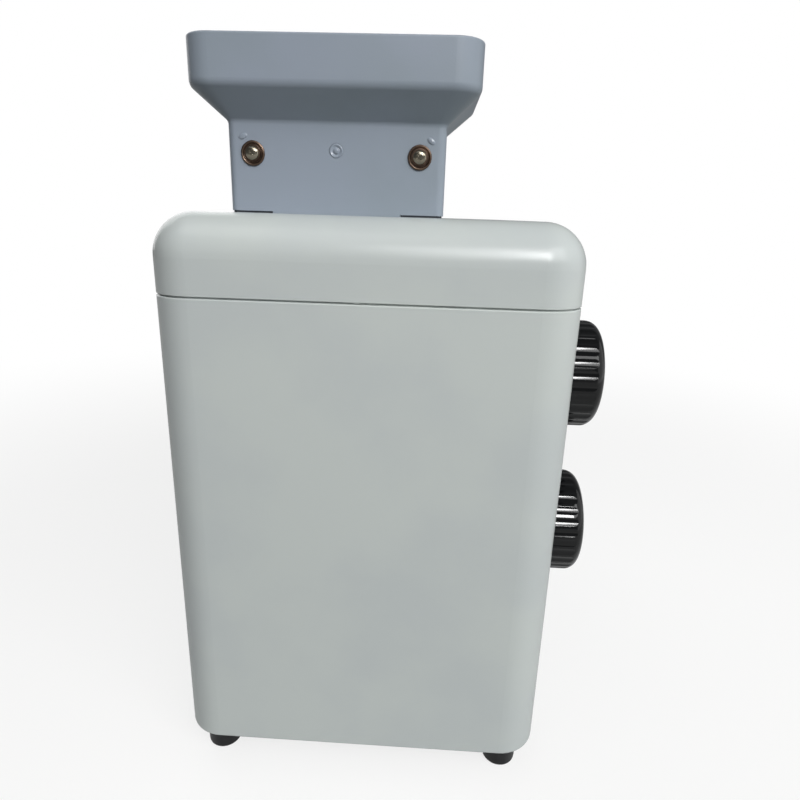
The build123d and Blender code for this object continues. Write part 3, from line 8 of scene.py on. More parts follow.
import logging
import math
from collections.abc import Callable, Sequence
from dataclasses import dataclass
from enum import Enum

import bmesh
import bpy
from mathutils import Matrix, Vector


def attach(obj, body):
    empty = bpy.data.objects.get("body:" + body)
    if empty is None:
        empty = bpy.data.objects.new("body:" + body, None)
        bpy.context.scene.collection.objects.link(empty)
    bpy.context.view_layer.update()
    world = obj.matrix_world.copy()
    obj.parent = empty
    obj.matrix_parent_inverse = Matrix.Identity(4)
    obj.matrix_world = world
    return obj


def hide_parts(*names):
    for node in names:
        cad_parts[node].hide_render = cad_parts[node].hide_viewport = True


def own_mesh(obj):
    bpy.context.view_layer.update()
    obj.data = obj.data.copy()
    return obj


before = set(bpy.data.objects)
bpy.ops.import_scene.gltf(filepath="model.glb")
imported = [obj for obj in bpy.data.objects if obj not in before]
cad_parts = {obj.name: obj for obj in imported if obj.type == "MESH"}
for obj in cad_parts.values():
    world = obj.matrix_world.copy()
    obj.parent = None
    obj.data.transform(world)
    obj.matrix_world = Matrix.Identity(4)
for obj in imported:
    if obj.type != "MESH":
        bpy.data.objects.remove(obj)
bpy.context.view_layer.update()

MM = 0.001
SMOOTH_ANGLE = math.radians(30)
# The turn that points a cylinder at the front, along Y.
TOWARDS_FRONT = (math.pi / 2, 0.0, 0.0)
# The least cosine between a normal and the way that its face is said to face.
FACING_COSINE = 0.9
# How far apart two places in mm may lie and still count as level.
LEVEL_MM = 0.01
# The values between which nearly all of a noise lies.
NOISE_BAND = (0.3, 0.7)
WHITE = (1.0, 1.0, 1.0, 1.0)
log = logging.getLogger("rice_huller")


class Axis(Enum):
    """A direction of the row frame, by the index of its coordinate."""

    X = 0
    Y = 1
    Z = 2


def linear(colour: str) -> tuple[float, float, float, float]:
    """Turns an sRGB hex colour into the linear colour that a socket takes.

    Args:
        colour: The colour as "#RRGGBB".

    Returns:
        Red, green, blue and an alpha of 1.
    """
    channels = (int(colour[i : i + 2], 16) / 255 for i in (1, 3, 5))
    r, g, b = (c / 12.92 if c <= 0.04045 else ((c + 0.055) / 1.055) ** 2.4 for c in channels)
    return r, g, b, 1.0


def per_mm(size: float) -> float:
    """Gives the texture scale at which one feature measures this many millimetres."""
    return 1 / (size * MM)


def add_node(
    tree: bpy.types.NodeTree,
    kind: str,
    settings: dict[str, object] | None = None,
    inputs: dict[str | int, object] | None = None,
) -> bpy.types.Node:
    """Adds a node with its settings, and sets or links its inputs.

    Args:
        tree: The node tree that the node goes into.
        kind: The node's type name, without the "ShaderNode" in front.
        settings: The node's own properties, by name.
        inputs: Values or output sockets for its input sockets, by name or number.

    Returns:
        The new node.
    """
    node = tree.nodes.new("ShaderNode" + kind)
    for name, value in (settings or {}).items():
        setattr(node, name, value)
    for name, value in (inputs or {}).items():
        if isinstance(value, bpy.types.NodeSocket):
            tree.links.new(value, node.inputs[name])
        else:
            node.inputs[name].default_value = value
    return node


def new_material(name: str) -> tuple[bpy.types.Material, bpy.types.NodeTree, bpy.types.NodeSocket]:
    """Starts a material with nothing in it but the object's own coordinates.

    Args:
        name: The real material's name.

    Returns:
        The material, its node tree, and the socket that gives Object coordinates.
    """
    material = bpy.data.materials.new(name)
    material.use_nodes = True
    tree = material.node_tree
    tree.nodes.clear()
    return material, tree, add_node(tree, "TexCoord").outputs["Object"]


def finish_surface(
    tree: bpy.types.NodeTree,
    shader_inputs: dict[str, object],
    height: bpy.types.NodeSocket,
    depth_mm: float,
    edge_mm: float,
) -> None:
    """Adds the bump, the softened edges, the shader and the output of a material.

    Args:
        tree: The material's node tree.
        shader_inputs: What the Principled shader's sockets are set to or linked with.
        height: The height of the surface's texture, from 0 to 1.
        depth_mm: How deep that texture is, in millimetres.
        edge_mm: The radius by which a hard edge looks softened, in millimetres.
    """
    edges = add_node(tree, "Bevel", {"samples": 4}, {"Radius": edge_mm * MM})
    bump = add_node(
        tree,
        "Bump",
        inputs={"Height": height, "Distance": depth_mm * MM, "Normal": edges.outputs["Normal"]},
    )
    shader = add_node(
        tree, "BsdfPrincipled", inputs={"Normal": bump.outputs["Normal"], **shader_inputs}
    )
    add_node(tree, "OutputMaterial", inputs={"Surface": shader.outputs["BSDF"]})


@dataclass(frozen=True)
class Patches:
    """Soft patches of a second colour, which a noise lays over the first."""

    size_mm: float
    detail: float
    band: tuple[float, float]
    roughness: float = 0.5
    share: float = 1.0
    ramp: str = "LINEAR"

    def lay(
        self, tree: bpy.types.NodeTree, place: bpy.types.NodeSocket, colours: tuple[str, str]
    ) -> tuple[bpy.types.NodeSocket, bpy.types.NodeSocket]:
        """Adds the noise, and blends two colours by it.

        Args:
            tree: The material's node tree.
            place: The coordinates of the noise.
            colours: The colour outside the patches and the colour in them.

        Returns:
            The sockets with the blended colour and with the noise.
        """
        noise = add_node(
            tree,
            "TexNoise",
            inputs={
                "Vector": place,
                "Scale": per_mm(self.size_mm),
                "Detail": self.detail,
                "Roughness": self.roughness,
            },
        ).outputs["Fac"]
        start, end = self.band
        amount = add_node(
            tree,
            "MapRange",
            {"interpolation_type": self.ramp},
            {"Value": noise, "From Min": start, "From Max": end, "To Max": self.share},
        )
        outside, inside = (linear(colour) for colour in colours)
        blend = add_node(
            tree,
            "Mix",
            {"data_type": "RGBA"},
            {"Factor": amount.outputs["Result"], "A": outside, "B": inside},
        )
        return blend.outputs["Result"], noise


@dataclass(frozen=True)
class MouldedPlastic:
    """Injection-moulded plastic: even colour, a soft gloss and a faintly uneven skin."""

    name: str
    colour: str
    cloud_colour: str
    roughness: float
    roughness_spread: float = 0.06
    specular: float = 0.5
    clouds: Patches = Patches(70.0, 4.0, (0.38, 0.66), ramp="SMOOTHSTEP")
    smear_mm: float = 45.0
    grain_mm: float = 0.9
    grain_depth_mm: float = 0.012
    edge_mm: float = 0.25

    def build(self) -> bpy.types.Material:
        """Makes the material."""
        material, tree, place = new_material(self.name)
        colour, _ = self.clouds.lay(tree, place, (self.colour, self.cloud_colour))
        smears = add_node(
            tree, "TexNoise", inputs={"Vector": place, "Scale": per_mm(self.smear_mm), "Detail": 3.0}
        )
        gloss = add_node(
            tree,
            "MapRange",
            inputs={
                "Value": smears.outputs["Fac"],
                "From Min": NOISE_BAND[0],
                "From Max": NOISE_BAND[1],
                "To Min": self.roughness - self.roughness_spread,
                "To Max": self.roughness + self.roughness_spread,
            },
        )
        grain = add_node(
            tree, "TexNoise", inputs={"Vector": place, "Scale": per_mm(self.grain_mm), "Detail": 2.0}
        )
        finish_surface(
            tree,
            {
                "Base Color": colour,
                "Roughness": gloss.outputs["Result"],
                "Specular IOR Level": self.specular,
                "IOR": 1.5,
            },
            grain.outputs["Fac"],
            self.grain_depth_mm,
            self.edge_mm,
        )
        return material


@dataclass(frozen=True)
class MouldedRubber:
    """Moulded rubber or foam: dull, dark in its pores, and paler where dust and wear rub it."""

    name: str
    colour: str
    dust_colour: str
    roughness: float = 0.62
    specular: float = 0.35
    dust: Patches = Patches(7.0, 8.0, (0.45, 0.8), 0.7, 0.35)
    grain_mm: float = 0.35
    grain_depth_mm: float = 0.05
    edge_mm: float = 0.4

    def build(self) -> bpy.types.Material:
        """Makes the material."""
        material, tree, place = new_material(self.name)
        colour, _ = self.dust.lay(tree, place, (self.colour, self.dust_colour))
        grain = add_node(
            tree, "TexNoise", inputs={"Vector": place, "Scale": per_mm(self.grain_mm), "Detail": 4.0}
        )
        finish_surface(
            tree,
            {"Base Color": colour, "Roughness": self.roughness, "Specular IOR Level": self.specular},
            grain.outputs["Fac"],
            self.grain_depth_mm,
            self.edge_mm,
        )
        return material


@dataclass(frozen=True)
class WorkedMetal:
    """Turned, ground, rolled or drawn metal: bright, with fine lines left by the tool."""

    name: str
    colour: str
    stain_colour: str
    roughness: float
    lines_along: Axis
    line_mm: float = 0.5
    line_stretch: float = 50.0
    line_depth_mm: float = 0.008
    gloss_spread: tuple[float, float] = (0.8, 1.25)
    stain_mm: float = 14.0
    stain_share: float = 0.4
    edge_mm: float = 0.25

    def build(self) -> bpy.types.Material:
        """Makes the material."""
        material, tree, place = new_material(self.name)
        stains = Patches(self.stain_mm, 7.0, (0.42, 0.72), 0.6, self.stain_share)
        colour, _ = stains.lay(tree, place, (self.colour, self.stain_colour))
        stretch = [per_mm(self.line_mm) / self.line_stretch] * 3
        stretch[self.lines_along.value] = per_mm(self.line_mm)
        lined = add_node(tree, "Mapping", inputs={"Vector": place, "Scale": stretch})
        lines = add_node(
            tree, "TexNoise", inputs={"Vector": lined.outputs["Vector"], "Scale": 1.0, "Detail": 3.0}
        )
        gloss = add_node(
            tree,
            "MapRange",
            inputs={
                "Value": lines.outputs["Fac"],
                "From Min": NOISE_BAND[0],
                "From Max": NOISE_BAND[1],
                "To Min": self.roughness * self.gloss_spread[0],
                "To Max": self.roughness * self.gloss_spread[1],
            },
        )
        finish_surface(
            tree,
            {"Base Color": colour, "Metallic": 1.0, "Roughness": gloss.outputs["Result"]},
            lines.outputs["Fac"],
            self.line_depth_mm,
            self.edge_mm,
        )
        return material


@dataclass(frozen=True)
class CastMetal:
    """Die-cast or sand-cast metal: dull grey, pitted, and darker in its pores."""

    name: str
    colour: str
    pore_colour: str
    roughness: float = 0.5
    pores: Patches = Patches(1.4, 5.0, (0.35, 0.65), 0.6)
    pore_depth_mm: float = 0.12
    edge_mm: float = 0.4

    def build(self) -> bpy.types.Material:
        """Makes the material, whose noise is high on the skin and low in the pores."""
        material, tree, place = new_material(self.name)
        colour, skin = self.pores.lay(tree, place, (self.pore_colour, self.colour))
        finish_surface(
            tree,
            {"Base Color": colour, "Metallic": 1.0, "Roughness": self.roughness},
            skin,
            self.pore_depth_mm,
            self.edge_mm,
        )
        return material


@dataclass(frozen=True)
class VarnishedLaminations:
    """A stack of stamped steel sheets under varnish: fine dark and pale lines across it."""

    name: str
    colour: str
    edge_colour: str
    sheet_mm: float = 0.8
    sheet_depth_mm: float = 0.05
    metal_share: float = 0.4
    roughness: float = 0.38
    edge_mm: float = 0.2

    def build(self) -> bpy.types.Material:
        """Makes the material."""
        material, tree, place = new_material(self.name)
        stack = add_node(
            tree,
            "TexWave",
            {"wave_type": "BANDS", "bands_direction": "Y"},
            {
                "Vector": place,
                "Scale": per_mm(self.sheet_mm) / math.tau,
                "Distortion": 0.4,
                "Detail": 2.0,
            },
        )
        colour = add_node(
            tree,
            "Mix",
            {"data_type": "RGBA"},
            {"Factor": stack.outputs["Fac"], "A": linear(self.edge_colour), "B": linear(self.colour)},
        )
        finish_surface(
            tree,
            {
                "Base Color": colour.outputs["Result"],
                "Metallic": self.metal_share,
                "Roughness": self.roughness,
            },
            stack.outputs["Fac"],
            self.sheet_depth_mm,
            self.edge_mm,
        )
        return material


Finish = MouldedPlastic | MouldedRubber | WorkedMetal | CastMetal | VarnishedLaminations

# Glossy ABS, off-white with a green-grey cast: even, clean, with soft wide reflections.
CASING_ABS = MouldedPlastic(
    "glossy_off_white_abs", "#C2C8C5", "#BDC3C2", 0.24, roughness_spread=0.03, specular=0.42
)
# The drawers are the same ABS from another mould, a little duller.
DRAWER_ABS = MouldedPlastic("satin_off_white_abs", "#BBC0BD", "#B5BBB8", 0.32, 0.04)
# Semi-gloss ABS coloured blue-grey: the hopper looks cooler and softer than the casing.
HOPPER_ABS = MouldedPlastic(
    "semi_gloss_blue_grey_abs",
    "#9099A5",
    "#8B959E",
    0.36,
    roughness_spread=0.04,
    specular=0.35,
    grain_depth_mm=0.02,
)
# The same ABS where the mould's gate broke off: glossy and uneven, so it glints.
GATE_ABS = MouldedPlastic(
    "polished_blue_grey_abs", "#9099A5", "#89929D", 0.12, grain_mm=0.7, grain_depth_mm=0.03
)
# Polished phenolic: near black, with a hard bright shine in each flute.
KNOB_PHENOLIC = MouldedPlastic(
    "polished_black_phenolic",
    "#060708",
    "#0B0C0D",
    0.08,
    roughness_spread=0.02,
    specular=0.35,
    grain_depth_mm=0.002,
    edge_mm=0.3,
)
# Black nylon: dull moulded skin on the switch, the inlet and the fuse holder.
BLACK_NYLON = MouldedPlastic(
    "moulded_black_nylon", "#17181A", "#1F2022", 0.42, grain_mm=0.5, grain_depth_mm=0.03
)
# Black rubber: a soft shine, with grey dust that clings to it.
FOOT_RUBBER = MouldedRubber(
    "moulded_black_rubber", "#101113", "#3C3C3B", roughness=0.42, grain_depth_mm=0.02
)
# Closed-cell foam: a dull dark grey strip with open pores along its cut side. Its dark grey is painted
# shade: it fills gaps under the neck's ends that hold only shadow.
SHADE_STRIP_FOAM = MouldedRubber(
    "grey_foam_painted_shade", "#43464B", "#5C6066", roughness=0.85, grain_mm=0.5, edge_mm=0.15
)
# Hulling rubber: brick red, ground true, and dusty with bran.
ROLL_RUBBER = MouldedRubber(
    "ground_hulling_rubber", "#7C3B2C", "#A87D5E", roughness=0.7, grain_mm=0.5
)
# Zinc-plated sheet steel: bluish silver, with a soft cloudy grain.
PLATED_STEEL = WorkedMetal(
    "zinc_plated_steel", "#B9BDC1", "#8F9498", 0.36, Axis.Z, line_mm=0.8, stain_mm=9.0
)
# Turned bright steel: silver, with fine rings round it.
BRIGHT_STEEL = WorkedMetal("turned_bright_steel", "#C9CACB", "#A3A4A5", 0.22, Axis.Y)
# Nickel-plated screw heads: dull warm silver, dirty in its pores, that catches the lamps.
NICKEL_PLATE = WorkedMetal(
    "nickel_plated_steel", "#8F897B", "#5E5649", 0.2, Axis.Y, stain_mm=1.8, edge_mm=0.2
)
# Bronzed brass washers: warm brown, with paler metal where they rub.
BRONZED_BRASS = WorkedMetal(
    "bronzed_brass", "#5B4C43", "#7C6A58", 0.36, Axis.Y, stain_mm=1.6, stain_share=0.5
)
# Machined gear steel: grey, oily, with tool lines along the teeth.
GEAR_STEEL = WorkedMetal("oiled_machined_steel", "#8C8E90", "#4E4A44", 0.3, Axis.Z, stain_mm=5.0)
# Drawn spring wire: dark blue-grey.
SPRING_STEEL = WorkedMetal("oil_tempered_wire", "#6D7074", "#3F4145", 0.32, Axis.X)
# Cast aluminium: pale dull grey with a sandy skin.
CAST_ALUMINIUM = CastMetal("cast_aluminium", "#B4B6B8", "#8B8D90")
# Turned brass: yellow, lightly tarnished.
TURNED_BRASS = WorkedMetal("turned_brass", "#C9A45A", "#8D6C34", 0.26, Axis.X)
# Varnished laminations: blue-black sheets with bright cut edges.
LAMINATIONS = VarnishedLaminations("varnished_laminations", "#33373D", "#6A6F76")


class Wardrobe:
    """Builds each finish once, and puts it on pieces."""

    def __init__(self) -> None:
        """Starts with no material made."""
        self._made: dict[str, bpy.types.Material] = {}

    def dress(self, piece: bpy.types.Object, finish: Finish) -> None:
        """Gives a piece one finish all over.

        Args:
            piece: The mesh object.
            finish: The finish of its real material.
        """
        if finish.name not in self._made:
            self._made[finish.name] = finish.build()
        piece.data.materials.clear()
        piece.data.materials.append(self._made[finish.name])

    def dress_nodes(self, finish: Finish, *names: str) -> None:
        """Dresses nodes of the construction model.

        Args:
            finish: The finish of their real material.
            names: The nodes' names.
        """
        for name in names:
            self.dress(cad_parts[name], finish)
            log.info("%s: %s", name, finish.name)


WARDROBE = Wardrobe()


def start_piece(name: str) -> bpy.types.Object:
    """Names the primitive that was just added, and settles its place and turn in its mesh.

    Args:
        name: The piece's name.

    Returns:
        The piece, alone selected and active, in object mode.
    """
    piece = bpy.context.object
    piece.name = name
    bpy.ops.object.transform_apply(location=True, rotation=True, scale=True)
    return piece


def facing(*way: float) -> Callable[[Vector, Vector], bool]:
    """Gives a test for pick_faces that takes the faces whose normal points one way.

    Args:
        way: The three coordinates of that way, one unit long.
    """
    return lambda centre, normal: normal.dot(Vector(way)) > FACING_COSINE


def pick_faces(piece: bpy.types.Object, wanted: Callable[[Vector, Vector], bool]) -> None:
    """Selects the faces of the piece in edit mode that pass a test, and no others.

    Args:
        piece: The piece in edit mode.
        wanted: Takes a face's centre in mm and its normal, and says whether to select it.
    """
    bpy.ops.mesh.select_mode(type="FACE")
    shape = bmesh.from_edit_mesh(piece.data)
    for face in shape.faces:
        face.select_set(wanted(face.calc_center_median() / MM, face.normal))
    shape.select_flush_mode()
    bmesh.update_edit_mesh(piece.data)


def pick_edges(piece: bpy.types.Object, wanted: Callable[[Vector, Vector], bool]) -> None:
    """Selects the edges of the piece in edit mode whose two ends pass a test, and no others.

    Args:
        piece: The piece in edit mode.
        wanted: Takes the two ends of an edge in mm, and says whether to select it.
    """
    bpy.ops.mesh.select_mode(type="EDGE")
    shape = bmesh.from_edit_mesh(piece.data)
    for edge in shape.edges:
        first, second = (corner.co / MM for corner in edge.verts)
        edge.select_set(wanted(first, second))
    shape.select_flush_mode()
    bmesh.update_edit_mesh(piece.data)


def step_in(border: float, move: tuple[float, float, float] = (0, 0, 0)) -> None:
    """Insets the selected faces, and then moves the inner faces.

    Args:
        border: The width of the new border, in mm.
        move: How far the inner faces then move, in mm.
    """
    bpy.ops.mesh.inset(thickness=border * MM, use_even_offset=True)
    if any(move):
        bpy.ops.transform.translate(value=Vector(move) * MM)


def step_up(steps: Sequence[tuple[float, float]]) -> None:
    """Insets the selected faces again and again, and moves them to the front each time.

    Args:
        steps: The border and the rise of each step, in mm.
    """
    for border, rise in steps:
        step_in(border, (0, -rise, 0))


def repeat_piece(
    piece: bpy.types.Object, places: Sequence[Matrix], name: str
) -> bpy.types.Object:
    """Copies a piece to each place, each copy with its own mesh, and joins the copies.

    Args:
        piece: The piece, modelled at the origin. It is taken away.
        places: The turn and place of each copy.
        name: The name of the joined piece.

    Returns:
        The joined piece.
    """
    copies = []
    for place in places:
        copy = bpy.data.objects.new(name, piece.data.copy())
        bpy.context.scene.collection.objects.link(copy)
        copy.data.transform(place)
        copies.append(copy)
    bpy.ops.object.select_all(action="DESELECT")
    piece.select_set(True)
    bpy.ops.object.delete()
    for copy in copies:
        copy.select_set(True)
    bpy.context.view_layer.objects.active = copies[0]
    bpy.ops.object.join()
    joined = bpy.context.object
    joined.name = name
    return joined


def finish_piece(
    piece: bpy.types.Object,
    body: str,
    finish: Finish,
    stands_for: Sequence[str] = (),
) -> None:
    """Smooths and dresses a modelled piece, hangs it on the body that it moves with, and hides the
    construction nodes that it replaces.

    Args:
        piece: The piece, in object mode.
        body: The body that it moves with.
        finish: The finish of its real material.
        stands_for: The construction nodes that it replaces.
    """
    bpy.ops.object.select_all(action="DESELECT")
    piece.select_set(True)
    bpy.context.view_layer.objects.active = piece
    bpy.ops.object.shade_smooth_by_angle(angle=SMOOTH_ANGLE)
    WARDROBE.dress(piece, finish)
    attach(piece, body)
    if stands_for:
        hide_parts(*stands_for)
    bpy.ops.object.select_all(action="DESELECT")
    log.info("%s: %s, %d faces", piece.name, finish.name, len(piece.data.polygons))


@dataclass
class Casing:
    """The moulded casing and its cover, with a sliver of flash in the gap between them."""

    front_y: float = -151.0
    seam_z: float = 264.4
    gap_height: float = 0.9
    gap_depth: float = 1.3
    flash_x: float = -14.3
    flash_root: float = 1.8
    flash_tip: float = 0.9
    flash_height: float = 0.4
    flash_setback: float = 0.1
    flash_rounding: float = 0.12
    tip_taper: tuple[float, float, float] = (1.0, 0.7, 0.35)

    def dress(self) -> None:
        """Finishes both halves in the same glossy plastic, and models the flash."""
        WARDROBE.dress_nodes(CASING_ABS, "body_shell", "top_cover")
        self._build_flash()

    def _build_flash(self) -> None:
        """Models the flash that the mould left along the cover's lower edge, thin at its ends."""
        depth = self.gap_depth - self.flash_setback
        middle = Vector(
            (
                self.flash_x,
                self.front_y + self.flash_setback + depth / 2,
                self.seam_z + self.gap_height - self.flash_height / 2,
            )
        )
        bpy.ops.mesh.primitive_cube_add(
            size=1.0,
            location=middle * MM,
            scale=Vector((self.flash_root, depth, self.flash_height)) * MM,
        )
        flash = start_piece("cover_flash")
        bpy.ops.object.mode_set(mode="EDIT")
        for side in (-1, 1):
            pick_faces(flash, facing(side, 0, 0))
            bpy.ops.mesh.extrude_region_move(
                TRANSFORM_OT_translate={"value": (side * self.flash_tip * MM, 0, 0)}
            )
            bpy.ops.transform.resize(value=self.tip_taper)
        pick_edges(flash, lambda first, second: max(first.y, second.y) < middle.y)
        bpy.ops.mesh.bevel(offset=self.flash_rounding * MM, segments=3, affect="EDGES")
        bpy.ops.object.mode_set(mode="OBJECT")
        finish_piece(flash, "cover", CASING_ABS)


@dataclass(frozen=True)
class Neck:
    """Where the hopper's neck stands, and its size, in mm."""

    middle_x: float = -29.4
    front_y: float = -109.0
    rear_y: float = -59.0
    cover_z: float = 301.9
    width: float = 104.8
    corner: float = 4.0


NECK = Neck()


@dataclass
class NeckFasteners:
    """The four screws that hold the hopper, each with its washer."""

    screw_spacing: float = 80.0
    screw_z: float = 329.1
    washer_radius: float = 5.7
    washer_edge: float = 0.7
    # The border and the rise of each step, from the rim inwards: the bead, the groove, the lip.
    bead_steps: tuple[tuple[float, float], ...] = (
        (0.33, 0.22),
        (0.275, 0.08),
        (0.275, -0.08),
        (0.33, -0.3),
    )
    groove_steps: tuple[tuple[float, float], ...] = ((0.21, -0.2), (0.28, 0.0), (0.21, 0.5))
    lip_steps: tuple[tuple[float, float], ...] = ((0.1, 0.3), (1.55, 0.0))
    bore_radius: float = 2.25
    bore_slack: float = 0.05
    seat: float = 1.0
    head_radius: float = 3.1
    head_height: float = 2.1
    head_edge: float = 1.26
    dome_steps: tuple[tuple[float, float], ...] = ((0.31, 0.315), (0.62, 0.315), (0.93, 0.189))
    shank_radius: float = 2.1
    shank_length: float = 6.5
    shank_taper: float = 0.8
    recess_width: float = 0.9
    recess_length: float = 3.6
    recess_depth: float = 0.65
    recess_taper: float = 0.7
    recess_turns: tuple[float, ...] = (38.0, 62.0, 15.0, -25.0)

    def build(self) -> None:
        """Models the washers and the screws."""
        self._build_washers()
        self._build_screws()

    def _screw_places(self) -> list[Matrix]:
        """Gives the four places of a screw that was modelled at the origin, facing the front."""
        places = []
        for face_y, turn in ((NECK.front_y, 0.0), (NECK.rear_y, math.pi)):
            for side in (-1, 1):
                x = NECK.middle_x + side * self.screw_spacing / 2
                place = Matrix.Translation(Vector((x, face_y, self.screw_z)) * MM)
                places.append(place @ Matrix.Rotation(turn, 4, "Z"))
        return places

    def _build_washers(self) -> None:
        """Models a washer with a rolled bead, a groove and a lip, and puts four on the neck."""
        bpy.ops.mesh.primitive_cylinder_add(
            vertices=64,
            radius=self.washer_radius * MM,
            depth=self.washer_edge * MM,
            location=(0, -self.washer_edge / 2 * MM, 0),
            rotation=TOWARDS_FRONT,
        )
        washer = start_piece("neck_washer")
        bpy.ops.object.mode_set(mode="EDIT")
        pick_faces(washer, facing(0, -1, 0))
        step_up(self.bead_steps + self.groove_steps + self.lip_steps)
        bpy.ops.mesh.delete(type="FACE")
        pick_faces(washer, facing(0, 1, 0))
        step_in(self.washer_radius - self.bore_radius)
        bpy.ops.mesh.delete(type="FACE")
        rim = self.bore_radius + self.bore_slack
        pick_edges(
            washer,
            lambda first, second: max(math.hypot(end.x, end.z) for end in (first, second)) < rim
            and abs(first.y - second.y) < LEVEL_MM,
        )
        bpy.ops.mesh.bridge_edge_loops()
        bpy.ops.mesh.select_all(action="SELECT")
        bpy.ops.mesh.normals_make_consistent(inside=False)
        bpy.ops.object.mode_set(mode="OBJECT")
        washers = repeat_piece(washer, self._screw_places(), "neck_washers")
        finish_piece(washers, "cover", BRONZED_BRASS, ["hopper_washers"])

    def _build_screws(self) -> None:
        """Models a domed screw with a crossed recess, and puts four in the neck."""
        bpy.ops.mesh.primitive_cylinder_add(
            vertices=48,
            radius=self.head_radius * MM,
            depth=self.head_edge * MM,
            location=(0, -(self.seat + self.head_edge / 2) * MM, 0),
            rotation=TOWARDS_FRONT,
        )
        screw = start_piece("neck_screw")
        bpy.ops.object.mode_set(mode="EDIT")
        pick_faces(screw, facing(0, -1, 0))
        step_up(self.dome_steps)
        pick_faces(screw, facing(0, 1, 0))
        step_in(self.head_radius - self.shank_radius)
        bpy.ops.mesh.extrude_region_move(
            TRANSFORM_OT_translate={"value": (0, self.shank_length * MM, 0)}
        )
        bpy.ops.transform.resize(value=(self.shank_taper, 1.0, self.shank_taper))
        bpy.ops.object.mode_set(mode="OBJECT")
        self._cut_recess(screw)
        places = [
            place @ Matrix.Rotation(math.radians(turn), 4, "Y")
            for place, turn in zip(self._screw_places(), self.recess_turns)
        ]
        screws = repeat_piece(screw, places, "neck_screws")
        finish_piece(screws, "cover", NICKEL_PLATE, ["hopper_screws"])

    def _cut_recess(self, screw: bpy.types.Object) -> None:
        """Cuts a crossed driver's recess, narrower at its bottom, into the screw's head.

        Args:
            screw: The screw at the origin, facing the front.
        """
        width = self.recess_width
        tall = 2 * self.recess_depth
        bottom = self.recess_depth - self.seat - self.head_height
        hub = Vector((0, bottom - tall / 2, 0))
        bpy.ops.mesh.primitive_cube_add(
            size=1.0, location=hub * MM, scale=Vector((width, tall, width)) * MM
        )
        cross = start_piece("recess_cutter")
        bpy.ops.object.mode_set(mode="EDIT")
        arm = (self.recess_length - width) / 2
        for way in (Vector((1, 0, 0)), Vector((-1, 0, 0)), Vector((0, 0, 1)), Vector((0, 0, -1))):
            pick_faces(
                cross,
                lambda centre, normal: normal.dot(way) > FACING_COSINE
                and (centre - hub).length < width,
            )
            bpy.ops.mesh.extrude_region_move(TRANSFORM_OT_translate={"value": way * arm * MM})
        pick_faces(
            cross, lambda centre, normal: normal.y > FACING_COSINE and centre.y > bottom - LEVEL_MM
        )
        bpy.ops.transform.resize(value=(self.recess_taper, 1.0, self.recess_taper))
        bpy.ops.object.mode_set(mode="OBJECT")
        recess = screw.modifiers.new("recess", "BOOLEAN")
        recess.object = cross
        bpy.ops.object.select_all(action="DESELECT")
        bpy.context.view_layer.objects.active = screw
        bpy.ops.object.modifier_apply(modifier=recess.name)
        cross.select_set(True)
        bpy.ops.object.delete()


